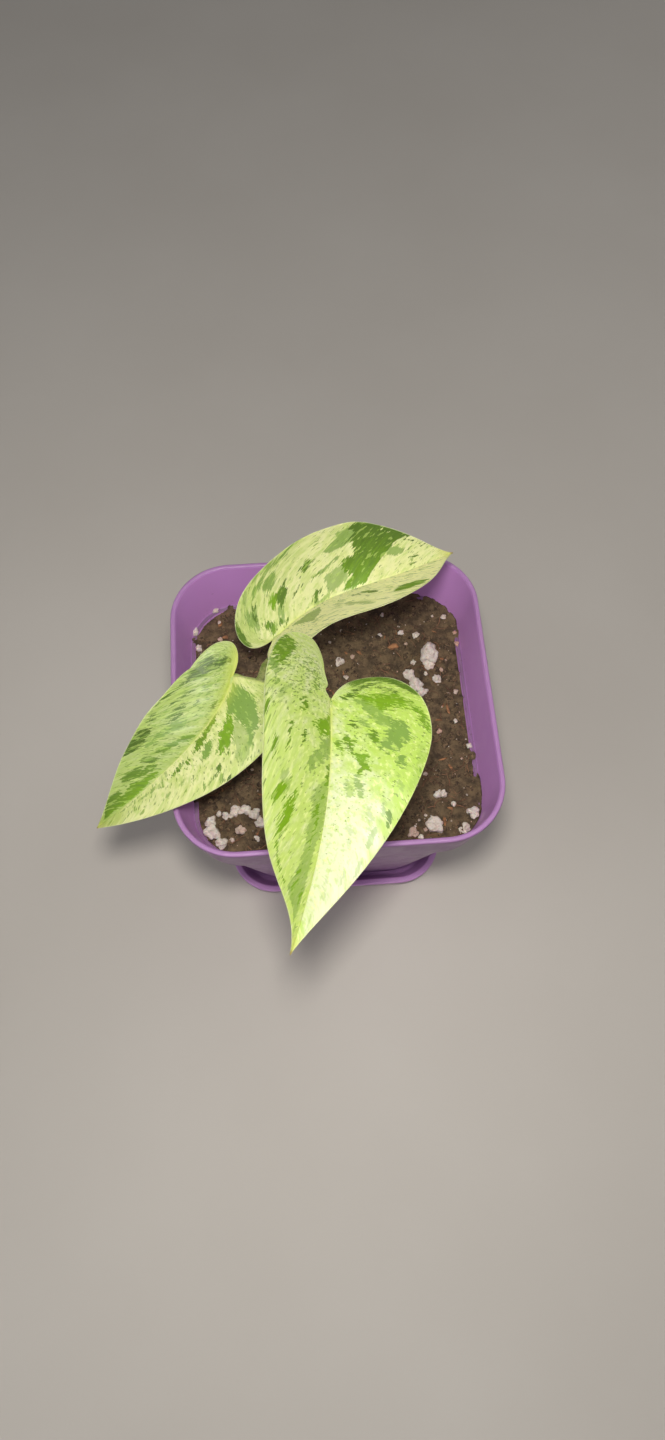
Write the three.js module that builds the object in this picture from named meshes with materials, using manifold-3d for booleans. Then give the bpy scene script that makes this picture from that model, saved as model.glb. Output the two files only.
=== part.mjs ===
// A snow queen pothos in a square plastic pot on its saucer.
// Millimetres, +Z up. The origin is on the underside of the saucer, below the middle of the pot.
// The pot's sides lie along X and Y, and its front is towards -Y.

import * as THREE from 'three';
import { mergeVertices } from 'three/addons/utils/BufferGeometryUtils.js';
import Module from 'manifold-3d';

const wasm = await Module();
wasm.setup();

// Driving dimensions

const gap = 0.3; // clearance between two pieces that rest on each other

const pot = {
  rimSide: 150, // outside width of the square mouth
  rimCorner: 29, // outside radius of its corners
  top: 139, // height of the rim above the table
  wall: 2.4,
  collarDepth: 29, // the mouth's sloping collar, down to the ledge inside
  collarTaper: 4.2, // how far the collar leans in, on each side
  ledge: 2, // width of the small step below the collar
  baseSide: 98,
  baseCorner: 20,
  floor: 2.4,
  recess: 1.5, // the middle of the base is raised, so the pot stands on its edge
  drain: { count: 4, radius: 4, ring: 26 },
};

const saucer = {
  lipSide: 117,
  lipCorner: 24,
  baseSide: 106,
  baseCorner: 20,
  height: 11,
  wall: 2.2,
  floor: 2,
  lip: 3.2, // width of the flat lip
};

const soil = {
  level: 110, // mean height of the surface
  bumps: 1.1, // height of its lumps
  dip: 2, // it is a little lower in the middle
};

const stem = {
  radius: 3,
  points: [[-24, 36, 74], [-24, 35, 100], [-23.5, 33, 116], [-25, 31, 128], [-24, 30, 139]],
  joints: [113.5, 121, 129], // heights of its rings, where the petioles leave
  ringSwell: 0.5,
  budLength: 9, // the pointed sheath at the growing end
};

// A petiole leaves the stem at a joint, turned to 'heading' degrees from +X and
// rising by 'rise' degrees, and ends under the junction of its leaf.
const petiole = { baseRadius: 2.3, endRadius: 1.5, groove: 0.22 };

// Every leaf: the midrib is a curve from the junction with the petiole to the tip.
// 'left' and 'right' are the halves as seen when looking along it from the junction.
// For each half: sinus is how far the lobe's inner edge stands off the midrib line, lobe how
// far the lobe reaches back, lobeAt how far out it does so, half the greatest half-width and
// halfAt its place along the midrib, shoulder how full the edge stays towards the tip,
// tipLength and tipWidth the drawn-out tip, fold the angle by which the half is folded up,
// curl how far its edge bends back down and sag how far the lobe hangs.
const leaves = {
  front: {
    midrib: [[-3, -31, 198], [-4.5, -72, 204], [-10, -91, 190], [-25, -128, 185]],
    roll: -1,
    twist: 1,
    left: { sinus: 3.4, lobe: 11.5, lobeAt: 20.5, half: 40, halfAt: 13.5, shoulder: 0.21,
      tipLength: 16, tipWidth: 4.3, fold: 6.5, curl: 4, sag: 1.5 },
    right: { sinus: 2.2, lobe: 27, lobeAt: 12, half: 38.5, halfAt: 12.5, shoulder: 0.74,
      tipLength: 26, tipWidth: 5, fold: 49, curl: 2.5, sag: 1.5 },
    petiole: { joint: 0, heading: -8, rise: 42, bend: [[-12, 15, 139], [-6, -20, 173]] },
  },
  left: {
    midrib: [[-44.5, 0.5, 162], [-51.5, -23, 153.5], [-95.5, -52.5, 146.5], [-111, -53, 125]],
    roll: -4,
    twist: -1.5,
    left: { sinus: 1, lobe: 2.5, lobeAt: 14.5, half: 29.5, halfAt: 10, shoulder: 0.35,
      tipLength: 16, tipWidth: 4, fold: 14, curl: 5, sag: 7 },
    right: { sinus: -3, lobe: 15.3, lobeAt: 4.5, half: 25, halfAt: 32, shoulder: 0.47,
      tipLength: 17, tipWidth: 4, fold: 22, curl: 4, sag: -0.5 },
    petiole: { joint: 1, heading: 232, rise: 34, bend: [[-31.2, 19.5, 131], [-34.5, 5, 147]] },
  },
  back: {
    midrib: [[-25, 22, 156], [3.5, 41.5, 169.5], [8.5, 27.5, 178.5], [60, 53.5, 170.5]],
    roll: -3.5,
    twist: 11.5,
    left: { sinus: 0.75, lobe: 12.5, lobeAt: 10.5, half: 34.5, halfAt: 37, shoulder: 0.63,
      tipLength: 12, tipWidth: 4.4, fold: 14.5, curl: 5.5, sag: 1.5 },
    right: { sinus: 6, lobe: 7, lobeAt: 17, half: 33, halfAt: 21, shoulder: 0.71,
      tipLength: 14, tipWidth: 4.6, fold: 43, curl: 0.5, sag: 0 },
    petiole: { joint: 2, heading: 25, rise: 52, bend: [[-18, 31, 139], [-23.5, 23.5, 148]] },
  },
};
const bladeThickness = 0.7;
const ripple = { height: 0.5, waves: 3.5 }; // the gentle waves of every leaf edge

// Perlite and bark: the grains that show best as [x, y, size], and how many small ones lie
// anywhere on the soil.
const grains = {
  large: [[51.8, 31.6, 9.5], [41.1, 22.1, 5], [43.6, 16.9, 6], [46.1, 12.3, 4.5], [54.4, 18.9, 3.8],
    [6.6, 31.9, 3.8], [46.5, 44.1, 3], [47.8, -42.4, 3.3], [50.6, -42.6, 3.3], [60, -53, 5],
    [44.5, -58.7, 7], [33.9, -60.9, 4.5], [56, -58, 4.5], [-53.8, -46.2, 3], [-49, -44.1, 4.5],
    [-44.3, -43.9, 5], [-40.1, -46.2, 4.5], [-37.5, -50.9, 4.5], [-60.4, -49.2, 4.5],
    [-58, -53, 7], [-54.5, -58, 5], [-46.5, -54.1, 4.5], [-62, 44, 3]],
  small: 26,
  smallSize: [1.8, 3.2],
};

// Helpers

function randomDraws(seed) {
  let state = seed;
  return () => {
    state = (state * 1664525 + 1013904223) % 4294967296;
    return state / 4294967296;
  };
}

// A closed geometry from points and triangles, with its equal points merged.
function fromTriangles(points, triangles) {
  const geometry = new THREE.BufferGeometry();
  geometry.setAttribute('position', new THREE.Float32BufferAttribute(points.flat(), 3));
  geometry.setIndex(triangles.flat());
  const merged = mergeVertices(geometry, 1e-4);
  const kept = [];
  const index = merged.getIndex().array;
  for (let i = 0; i < index.length; i += 3) {
    const [a, b, c] = index.slice(i, i + 3);
    if (a !== b && b !== c && c !== a) kept.push(a, b, c);
  }
  merged.setIndex(kept);
  return merged;
}

function toManifold(geometry) {
  const plain = geometry.clone();
  plain.deleteAttribute('normal');
  plain.deleteAttribute('uv');
  const merged = mergeVertices(plain, 1e-4);
  const vertProperties = new Float32Array(merged.getAttribute('position').array);
  const triVerts = new Uint32Array(merged.getIndex().array);
  return new wasm.Manifold(new wasm.Mesh({ numProp: 3, vertProperties, triVerts }));
}

function toGeometry(manifold) {
  const mesh = manifold.getMesh();
  const geometry = new THREE.BufferGeometry();
  geometry.setAttribute('position', new THREE.BufferAttribute(mesh.vertProperties, 3));
  geometry.setIndex(new THREE.BufferAttribute(mesh.triVerts, 1));
  return geometry;
}

// The outline of a square with round corners, at height z, counter-clockwise from above.
// Its straight sides can be divided too.
function squareRing(side, corner, z, perCorner = 8, perSide = 1) {
  const flat = side / 2 - corner;
  const ring = [];
  for (let k = 0; k < 4; k++) {
    const [cx, cy] = [[flat, flat], [-flat, flat], [-flat, -flat], [flat, -flat]][k];
    for (let i = 0; i <= perCorner; i++) {
      const angle = (k + i / perCorner) * Math.PI / 2;
      ring.push([cx + corner * Math.cos(angle), cy + corner * Math.sin(angle), z]);
    }
    const [dx, dy] = [[-1, 0], [0, -1], [1, 0], [0, 1]][k];
    const [x, y] = ring.at(-1);
    for (let i = 1; i < perSide; i++) {
      const step = (i / perSide) * 2 * flat;
      ring.push([x + dx * step, y + dy * step, z]);
    }
  }
  return ring;
}

// A closed solid through rings of equal count, the first and the last filled to a centre.
function loft(rings, firstCentre, lastCentre) {
  const count = rings[0].length;
  const points = rings.flat();
  const triangles = [];
  for (let r = 0; r + 1 < rings.length; r++) {
    for (let i = 0; i < count; i++) {
      const a = r * count + i;
      const b = r * count + (i + 1) % count;
      triangles.push([a, b, b + count], [a, b + count, a + count]);
    }
  }
  const middle = (ring) => [0, 1, 2].map((k) => ring.reduce((sum, p) => sum + p[k], 0) / count);
  const first = points.push(firstCentre ?? middle(rings[0])) - 1;
  const last = points.push(lastCentre ?? middle(rings.at(-1))) - 1;
  const base = (rings.length - 1) * count;
  for (let i = 0; i < count; i++) {
    const next = (i + 1) % count;
    triangles.push([first, next, i], [last, base + i, base + next]);
  }
  return fromTriangles(points, triangles);
}

// A closed solid swept along a curve. shape(t, angle) gives the distance from the curve.
function sweep(curve, steps, sides, shape) {
  const frames = curve.computeFrenetFrames(steps, false);
  const rings = [];
  for (let s = 0; s <= steps; s++) {
    const t = s / steps;
    const centre = curve.getPointAt(t);
    const ring = [];
    for (let i = 0; i < sides; i++) {
      const angle = (i / sides) * 2 * Math.PI;
      const r = shape(t, angle);
      const point = centre.clone()
        .addScaledVector(frames.normals[s], r * Math.cos(angle))
        .addScaledVector(frames.binormals[s], r * Math.sin(angle));
      ring.push(point.toArray());
    }
    rings.push(ring);
  }
  return loft(rings, curve.getPointAt(0).toArray(), curve.getPointAt(1).toArray());
}

// Pot and saucer

const potBottom = saucer.floor + gap;
const innerFloor = potBottom + pot.recess + pot.floor;
const ledgeHeight = pot.top - pot.collarDepth;
const mouthSide = pot.rimSide - 2 * pot.wall;
const collarSide = mouthSide - 2 * pot.collarTaper;
const bodySide = collarSide - 2 * pot.ledge;
const innerBaseSide = pot.baseSide - 2 * pot.wall;

// The inside of the pot below the ledge, as a width and a corner radius at height z.
function bodyInside(z) {
  const t = (z - innerFloor) / (ledgeHeight - innerFloor);
  return {
    side: THREE.MathUtils.lerp(innerBaseSide, bodySide, t),
    corner: THREE.MathUtils.lerp(pot.baseCorner - pot.wall, pot.rimCorner - 7, t),
  };
}

function makePot() {
  const edge = 0.5;
  const body = bodyInside(ledgeHeight - 2);
  const outside = [
    squareRing(pot.baseSide - 14, pot.baseCorner - 6, potBottom + pot.recess),
    squareRing(pot.baseSide - 14, pot.baseCorner - 6, potBottom),
    squareRing(pot.baseSide - 2 * edge, pot.baseCorner - edge, potBottom),
    squareRing(pot.baseSide, pot.baseCorner, potBottom + 1),
    squareRing(body.side + 2 * pot.wall, body.corner + pot.wall, ledgeHeight - pot.wall),
    squareRing(collarSide + 2 * pot.wall, pot.rimCorner - 3, ledgeHeight - 1),
    squareRing(pot.rimSide - 1.6, pot.rimCorner - 0.8, pot.top - 3.4),
    squareRing(pot.rimSide, pot.rimCorner, pot.top - 2.6),
    squareRing(pot.rimSide, pot.rimCorner, pot.top - edge),
    squareRing(pot.rimSide - 2 * edge, pot.rimCorner - edge, pot.top),
  ];
  const inside = [
    squareRing(mouthSide + 2 * edge, pot.rimCorner - pot.wall + edge, pot.top),
    squareRing(mouthSide, pot.rimCorner - pot.wall, pot.top - edge),
    squareRing(collarSide, pot.rimCorner - 5, ledgeHeight),
    squareRing(bodySide, bodyInside(ledgeHeight).corner, ledgeHeight),
    squareRing(innerBaseSide, pot.baseCorner - pot.wall, innerFloor),
  ];
  let solid = toManifold(loft([...outside, ...inside]));
  for (let i = 0; i < pot.drain.count; i++) {
    const angle = (i + 0.5) * 2 * Math.PI / pot.drain.count;
    const hole = new THREE.CylinderGeometry(pot.drain.radius, pot.drain.radius, 12, 16);
    hole.rotateX(Math.PI / 2);
    hole.translate(pot.drain.ring * Math.cos(angle), pot.drain.ring * Math.sin(angle), potBottom + 3);
    solid = solid.subtract(toManifold(hole));
  }
  return toGeometry(solid);
}

function makeSaucer() {
  const edge = 0.6;
  const { lipSide, lipCorner, baseSide, baseCorner, height, wall, floor, lip } = saucer;
  return loft([
    squareRing(baseSide - 2 * edge, baseCorner - edge, 0),
    squareRing(baseSide, baseCorner, edge),
    squareRing(lipSide - 2 * lip + 2 * wall, lipCorner - lip + wall, height - 2.6),
    squareRing(lipSide - 0.6, lipCorner - 0.3, height - 1.8),
    squareRing(lipSide, lipCorner, height - edge),
    squareRing(lipSide - 2 * edge, lipCorner - edge, height),
    squareRing(lipSide - 2 * lip + edge, lipCorner - lip + edge, height),
    squareRing(lipSide - 2 * lip, lipCorner - lip, height - edge),
    squareRing(baseSide - 2 * wall + 0.4, baseCorner - wall, floor + 1),
    squareRing(baseSide - 2 * wall - 1.2, baseCorner - wall - 0.6, floor),
  ]);
}

// Soil, with its perlite and bark

// Height of the soil: broad waves and smaller lumps, all from sums of sines.
function soilHeight(x, y) {
  const edge = Math.max(Math.abs(x), Math.abs(y)) / (bodySide / 2);
  const broad = Math.sin(x / 19 + 1) * Math.cos(y / 23 - 0.6);
  const lumps = Math.sin(x / 4.7 + 2 * Math.sin(y / 9)) * Math.sin(y / 5.3 - 1.3);
  return soil.level - soil.dip * (1 - edge * edge) + soil.bumps * (0.7 * broad + 0.5 * lumps);
}

function makeGrain(x, y, size, draw) {
  const grain = new THREE.IcosahedronGeometry(size / 2, 0);
  grain.rotateX(draw() * 3);
  grain.rotateZ(draw() * 3);
  grain.scale(0.85 + 0.3 * draw(), 0.85 + 0.3 * draw(), 0.75);
  grain.translate(x, y, soilHeight(x, y) + size * 0.08);
  return toManifold(grain);
}

function makeSoil(stemCurve) {
  // A ring just inside the pot's wall at height z, drawn in towards the middle by 'part'.
  const soilRing = (z, part) => {
    const { side, corner } = bodyInside(z);
    return squareRing((side - 2 * gap) * part, (corner - gap) * part, z, 4, 8);
  };
  const edgeHeight = soil.level - 1;
  const rings = [soilRing(innerFloor + gap, 1), soilRing(edgeHeight, 1)];
  const steps = 12;
  for (let s = steps - 1; s > 0; s--) {
    rings.push(soilRing(edgeHeight, s / steps).map(([x, y]) => [x, y, soilHeight(x, y)]));
  }
  let solid = toManifold(loft(rings, null, [0, 0, soilHeight(0, 0)]));
  const draw = randomDraws(20);
  const all = grains.large.map(([x, y, size]) => makeGrain(x, y, size, draw));
  const reach = bodySide / 2 - 7;
  const [stemX, stemY] = stem.points[1];
  for (let i = 0; i < grains.small; i++) {
    const x = (2 * draw() - 1) * reach;
    const y = (2 * draw() - 1) * reach;
    const size = THREE.MathUtils.lerp(...grains.smallSize, draw());
    const clearOfStem = Math.hypot(x - stemX, y - stemY) > 12;
    const clearOfCorners = Math.hypot(x, y) < 1.25 * reach;
    if (clearOfStem && clearOfCorners) all.push(makeGrain(x, y, size, draw));
  }
  all.forEach((grain) => { solid = solid.add(grain); });
  const hole = sweep(stemCurve, 16, 12, () => stem.radius + stem.ringSwell + gap);
  return toGeometry(solid.subtract(toManifold(hole)));
}

// Stem and petioles

const stemPoints = stem.points.map((p) => new THREE.Vector3(...p));
const stemCurve = new THREE.CatmullRomCurve3(stemPoints);

// The place along the stem, 0 to 1, at height z.
function stemPlace(z) {
  let low = 0;
  let high = 1;
  for (let i = 0; i < 24; i++) {
    const middle = (low + high) / 2;
    if (stemCurve.getPointAt(middle).z < z) low = middle;
    else high = middle;
  }
  return low;
}

function makeStem() {
  const length = stemCurve.getLength();
  const rings = stem.joints.map(stemPlace);
  const radius = (t) => {
    const near = Math.min(...rings.map((place) => Math.abs(place - t) * length));
    const swell = stem.ringSwell * Math.exp(-((near / 1.6) ** 2));
    const toEnd = (1 - t) * length;
    const taper = Math.min(1, 0.25 + 0.75 * (toEnd / stem.budLength) ** 0.6);
    return (stem.radius + swell) * taper;
  };
  return sweep(stemCurve, 44, 12, radius);
}

function makePetiole(leaf, frame) {
  const { joint, heading, rise, bend } = leaf.petiole;
  const foot = stemCurve.getPointAt(stemPlace(stem.joints[joint]));
  const turn = THREE.MathUtils.degToRad(heading);
  const up = THREE.MathUtils.degToRad(rise);
  const way = new THREE.Vector3(Math.cos(turn) * Math.cos(up), Math.sin(turn) * Math.cos(up),
    Math.sin(up));
  const standOff = stem.radius + stem.ringSwell + gap + 0.15 + petiole.baseRadius * Math.sin(up);
  const start = foot.clone().add(new THREE.Vector3(Math.cos(turn), Math.sin(turn), 0)
    .multiplyScalar(standOff));
  const [near, far] = bend.map((p) => new THREE.Vector3(...p));
  const arriving = frame.point.clone().sub(far).normalize();
  const lean = Math.sqrt(1 - arriving.dot(frame.up) ** 2);
  const end = frame.point.clone()
    .addScaledVector(frame.up, -(bladeThickness / 2 + gap + 0.1 + petiole.endRadius * lean));
  const outset = start.clone().addScaledVector(way, 3.5);
  const curve = new THREE.CatmullRomCurve3([start, outset, near, far, end]);
  const shape = (t, angle) => {
    const r = THREE.MathUtils.lerp(petiole.baseRadius, petiole.endRadius, Math.min(1, 1.3 * t));
    return r * (1 - petiole.groove * Math.max(0, Math.cos(angle)) ** 3);
  };
  return sweep(curve, 26, 10, shape);
}

// Leaves

function bezier(a, b, c, d, t) {
  const s = 1 - t;
  return a.map((_, k) => s * s * s * a[k] + 3 * s * s * t * b[k] + 3 * s * t * t * c[k]
    + t * t * t * d[k]);
}

// The flat edge of one half, from the junction round the lobe to the tip: [along, out].
function edgeOfHalf(h, length, steps) {
  const lobeBack = [-h.lobe, h.lobeAt];
  const widest = [h.halfAt, h.half];
  const arcs = [
    [[0, 0], [-0.7 * h.lobe, h.sinus], [-h.lobe, 0.45 * h.lobeAt], lobeBack],
    [lobeBack, [-h.lobe, h.lobeAt + 0.55 * (h.half - h.lobeAt)],
      [h.halfAt - 0.55 * (h.halfAt + h.lobe), h.half], widest],
    [widest, [h.halfAt + h.shoulder * (length - h.halfAt), h.half],
      [length - h.tipLength, h.tipWidth], [length, 0]],
  ];
  const points = [[0, 0]];
  arcs.forEach((arc, k) => {
    for (let i = 1; i <= steps[k]; i++) points.push(bezier(...arc, i / steps[k]));
  });
  return points;
}

// The midrib's point and the blade's own directions there, at a distance along it.
function midribFrame(leaf, curve, along) {
  const length = curve.getLength();
  const t = THREE.MathUtils.clamp(along / length, 0, 1);
  const tangent = curve.getTangentAt(t);
  const point = curve.getPointAt(t).addScaledVector(tangent, Math.min(0, along));
  const across = new THREE.Vector3(0, 0, 1).cross(tangent).normalize();
  const roll = THREE.MathUtils.degToRad(leaf.roll + leaf.twist * t);
  across.applyAxisAngle(tangent, roll);
  const up = tangent.clone().cross(across);
  return { point, along: tangent, across, up };
}

// A point of the blade, from its place in the flat leaf; side is +1 for the left half.
function bladePoint(leaf, curve, side, along, out) {
  const half = side > 0 ? leaf.left : leaf.right;
  const frame = midribFrame(leaf, curve, along);
  const fold = THREE.MathUtils.degToRad(half.fold);
  const width = out / half.half;
  const wave = ripple.height * width * width
    * Math.sin(2 * Math.PI * ripple.waves * along / curve.getLength() + side);
  const lift = out * Math.sin(fold) - half.curl * width * width
    - half.sag * (Math.min(along, 0) / half.lobe) ** 2 + wave;
  return frame.point.clone()
    .addScaledVector(frame.across, side * out * Math.cos(fold))
    .addScaledVector(frame.up, lift)
    .toArray();
}

// The middle surface of a blade. Its veins run from the midrib to the edge; those of the
// lobes all start at the junction.
function bladeSurface(leaf, curve) {
  const steps = [8, 7, 14];
  const rows = 5;
  const length = curve.getLength();
  const count = steps[0] + steps[1] + steps[2];
  const points = [];
  const triangles = [];
  [1, -1].forEach((side) => {
    const base = points.length;
    const edge = edgeOfHalf(side > 0 ? leaf.left : leaf.right, length, steps);
    edge.forEach(([along, out], i) => {
      const start = length * Math.max(0, (i - steps[0]) / (count - steps[0]));
      for (let j = 0; j <= rows; j++) {
        const b = j / rows;
        points.push(bladePoint(leaf, curve, side, start * (1 - b) + along * b, out * b));
      }
    });
    for (let i = 0; i < count; i++) {
      for (let j = 0; j < rows; j++) {
        const a = base + i * (rows + 1) + j;
        const b = a + rows + 1;
        const quad = [[a, b, b + 1], [a, b + 1, a + 1]];
        quad.forEach((q) => triangles.push(side > 0 ? q : q.reverse()));
      }
    }
  });
  return fromTriangles(points, triangles);
}

// A surface made into a solid: a copy on each side, and walls along its open edges.
function thicken(surface, thickness) {
  surface.computeVertexNormals();
  const position = surface.getAttribute('position');
  const normal = surface.getAttribute('normal');
  const index = surface.getIndex().array;
  const count = position.count;
  const points = [];
  [0.5, -0.5].forEach((share) => {
    for (let i = 0; i < count; i++) {
      const p = new THREE.Vector3().fromBufferAttribute(position, i);
      const n = new THREE.Vector3().fromBufferAttribute(normal, i);
      points.push(p.addScaledVector(n, share * thickness).toArray());
    }
  });
  const triangles = [];
  const edges = new Map();
  for (let i = 0; i < index.length; i += 3) {
    const [a, b, c] = index.slice(i, i + 3);
    triangles.push([a, b, c], [c + count, b + count, a + count]);
    [[a, b], [b, c], [c, a]].forEach(([p, q]) => edges.set(`${p} ${q}`, [p, q]));
  }
  edges.forEach(([p, q]) => {
    if (edges.has(`${q} ${p}`)) return;
    triangles.push([q, p, p + count], [q, p + count, q + count]);
  });
  return fromTriangles(points, triangles);
}

// The finished group

const materials = {
  pot: { color: 0x9c66a4, roughness: 0.45, metalness: 0 },
  saucer: { color: 0x8f4fa0, roughness: 0.45, metalness: 0 },
  soil: { color: 0x5a4638, roughness: 0.95, metalness: 0 },
  stem: { color: 0x8fa850, roughness: 0.55, metalness: 0 },
  petiole: { color: 0xa9bf62, roughness: 0.5, metalness: 0 },
  leaf: { color: 0xc6d98a, roughness: 0.4, metalness: 0 },
};

const group = new THREE.Group();

function addPiece(name, geometry, material) {
  const mesh = new THREE.Mesh(geometry, new THREE.MeshStandardMaterial(materials[material]));
  mesh.name = name;
  group.add(mesh);
}

addPiece('pot', makePot(), 'pot');
addPiece('saucer', makeSaucer(), 'saucer');
addPiece('soil', makeSoil(stemCurve), 'soil');
addPiece('stem', makeStem(), 'stem');
Object.entries(leaves).forEach(([name, leaf]) => {
  const curve = new THREE.CubicBezierCurve3(...leaf.midrib.map((p) => new THREE.Vector3(...p)));
  addPiece(`leaf_${name}`, thicken(bladeSurface(leaf, curve), bladeThickness), 'leaf');
  addPiece(`petiole_${name}`, makePetiole(leaf, midribFrame(leaf, curve, 0)), 'petiole');
});

export default group;
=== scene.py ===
# %% [markdown]
# # A snow queen pothos in a purple pot
# A young vine with three marbled leaves stands in a square plastic pot on its saucer.
# The shapes and sizes come from a fixed frame of plain solids, which is loaded first. Each
# finer piece built below takes the place of one of those solids and follows its dimensions,
# so the dressed plant is as large as the frame says. All building is done in millimetres,
# the way a potter or a gardener measures, and turned into metres when a mesh is made.

# %% Load the frame
import math
import random

import bmesh
import bpy
import numpy as np
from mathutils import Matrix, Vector, noise


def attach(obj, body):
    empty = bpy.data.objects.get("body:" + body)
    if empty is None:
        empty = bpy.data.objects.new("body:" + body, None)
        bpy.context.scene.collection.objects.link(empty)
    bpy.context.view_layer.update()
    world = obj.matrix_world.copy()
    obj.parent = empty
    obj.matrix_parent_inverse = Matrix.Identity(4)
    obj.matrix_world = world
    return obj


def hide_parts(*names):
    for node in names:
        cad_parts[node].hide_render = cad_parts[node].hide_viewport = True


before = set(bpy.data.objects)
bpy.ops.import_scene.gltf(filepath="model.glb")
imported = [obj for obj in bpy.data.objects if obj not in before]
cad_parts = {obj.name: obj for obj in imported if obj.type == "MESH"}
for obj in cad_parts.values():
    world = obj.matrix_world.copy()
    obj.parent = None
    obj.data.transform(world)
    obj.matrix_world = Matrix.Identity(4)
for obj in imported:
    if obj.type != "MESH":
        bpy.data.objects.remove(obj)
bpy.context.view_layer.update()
MM = 0.001
print("frame pieces:", ", ".join(sorted(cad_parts)))

# %% [markdown]
# ## Camera
# The plant is seen from above and in front, by a short lens held about 56 cm over the floor.
# A camera could be aimed by a tracking constraint, but then its roll is left to chance. Its
# place and three turns are simply given, as they were worked out from the pot's square rim.

# %% Set up the camera
CAMERA_PLACE = (-15.85, -199.97, 560.65)
CAMERA_TURN = (23.979, -0.219, -4.167)
CAMERA_LENS = 25
camera = bpy.data.objects.new("camera", bpy.data.cameras.new("camera"))
camera.location = [c * MM for c in CAMERA_PLACE]
camera.rotation_euler = [math.radians(a) for a in CAMERA_TURN]
camera.data.lens = CAMERA_LENS
bpy.context.collection.objects.link(camera)
bpy.context.scene.camera = camera
print("camera height:", CAMERA_PLACE[2], "mm")

# %% [markdown]
# ## Light
# The real plant is lit by one lamp close above the lens, with weak light from all round.
# A sun would give even light, but a lamp this near makes the high leaves brighter than the
# floor, which is what sets them off. So the main light is a small soft disc at that place.
# A pale world fills the shadows, and three wide, weak panels shape the sides.

# %% Place the lights
def soft_light(name, place, aim, size, watts, colour=(1, 1, 1)):
    """A disc of light at a place, turned towards a point, both in millimetres."""
    lamp = bpy.data.lights.new(name, "AREA")
    lamp.shape = "DISK"
    lamp.size = size * MM
    lamp.energy = watts
    lamp.color = colour
    thing = bpy.data.objects.new(name, lamp)
    thing.location = [c * MM for c in place]
    way = Vector(aim) - Vector(place)
    thing.rotation_euler = way.to_track_quat("-Z", "Y").to_euler()
    bpy.context.collection.objects.link(thing)


soft_light("lamp_by_the_lens", (-15, -158, 605), (0, -10, 110), 60, 1.85, (1, 0.97, 0.92))
soft_light("left_panel", (-900, -300, 900), (0, 0, 80), 900, 2.2, (0.97, 0.98, 1))
soft_light("right_panel", (900, 500, 900), (0, 0, 80), 900, 2.2, (1, 0.98, 0.96))
soft_light("front_panel", (-100, -1000, 600), (0, 0, 120), 800, 1.9, (1, 0.99, 0.97))
world = bpy.data.worlds.new("pale_room")
world.use_nodes = True
world.node_tree.nodes["Background"].inputs["Color"].default_value = (0.95, 0.97, 1, 1)
world.node_tree.nodes["Background"].inputs["Strength"].default_value = 0.19
bpy.context.scene.world = world
bpy.context.scene.view_settings.view_transform = "Standard"
print("lights:", len(bpy.data.lights))

# %% [markdown]
# ## Writing finishes
# A finish here is a principled shader whose colour, roughness and relief come from layers of
# noise. Wiring each node by hand makes long scripts, so a small class gives the few calls
# that every finish needs. Feature sizes are in millimetres on the object.

# %% A short way to write a finish
def linear(r, g, b):
    """The shader's linear colour for a display colour of 0 to 255."""
    parts = [c / 255 for c in (r, g, b)]
    parts = [c / 12.92 if c <= 0.04045 else ((c + 0.055) / 1.055) ** 2.4 for c in parts]
    return (*parts, 1)


class Finish:
    """A material, with short calls for its nodes."""

    def __init__(self, name, **sockets):
        self.material = bpy.data.materials.new(name)
        self.material.use_nodes = True
        self.tree = self.material.node_tree
        self.shader = self.tree.nodes["Principled BSDF"]
        for socket, value in sockets.items():
            self.shader.inputs[socket.replace("_", " ")].default_value = value
        self.place = self.node("ShaderNodeTexCoord").outputs["Object"]

    def node(self, kind, inputs=None, **settings):
        made = self.tree.nodes.new(kind)
        for key, value in settings.items():
            setattr(made, key, value)
        for key, value in (inputs or {}).items():
            if isinstance(value, bpy.types.NodeSocket):
                self.tree.links.new(value, made.inputs[key])
            else:
                made.inputs[key].default_value = value
        return made

    def set(self, socket, value):
        self.tree.links.new(value, self.shader.inputs[socket])

    def noise(self, size, detail=3, rough=0.5, where=None, stretch=(1, 1, 1), seed=0):
        """Fractal noise of 0 to 1, whose lumps are 'size' millimetres times the stretch."""
        unit = 1 if where else MM
        scale = [1 / (size * unit * s) for s in stretch]
        spot = self.node("ShaderNodeMapping", {
            "Vector": where or self.place, "Scale": scale, "Location": (seed, 2 * seed, 0),
        })
        inputs = {"Vector": spot.outputs[0], "Scale": 1, "Detail": detail, "Roughness": rough}
        return self.node("ShaderNodeTexNoise", inputs).outputs["Fac"]

    def sum(self, a, how, b):
        return self.node("ShaderNodeMath", {0: a, 1: b}, operation=how).outputs[0]

    def step(self, value, low, high, to=(0, 1)):
        """A smooth rise from to[0] to to[1] as the value goes from low to high."""
        inputs = {"Value": value, "From Min": low, "From Max": high,
                  "To Min": to[0], "To Max": to[1]}
        made = self.node("ShaderNodeMapRange", inputs, interpolation_type="SMOOTHSTEP")
        return made.outputs["Result"]

    def mix(self, base, other, share):
        """One colour laid over another, by a share of 0 to 1."""
        made = self.node("ShaderNodeMix", data_type="RGBA")
        for slot, value in ((0, share), (6, base), (7, other)):
            if isinstance(value, bpy.types.NodeSocket):
                self.tree.links.new(value, made.inputs[slot])
            else:
                made.inputs[slot].default_value = value
        return made.outputs[2]

    def relief(self, height, distance, strength=1.0):
        """Bumps of a height of 0 to 1 times the distance in millimetres."""
        made = self.node("ShaderNodeBump", {
            "Height": height, "Distance": distance * MM, "Strength": strength,
        })
        self.set("Normal", made.outputs[0])

    def attribute(self, name):
        """The three values that a mesh keeps at each point under this name."""
        made = self.node("ShaderNodeAttribute", attribute_name=name)
        parts = self.node("ShaderNodeSeparateXYZ", {0: made.outputs["Vector"]})
        return made.outputs["Vector"], *parts.outputs


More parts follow.
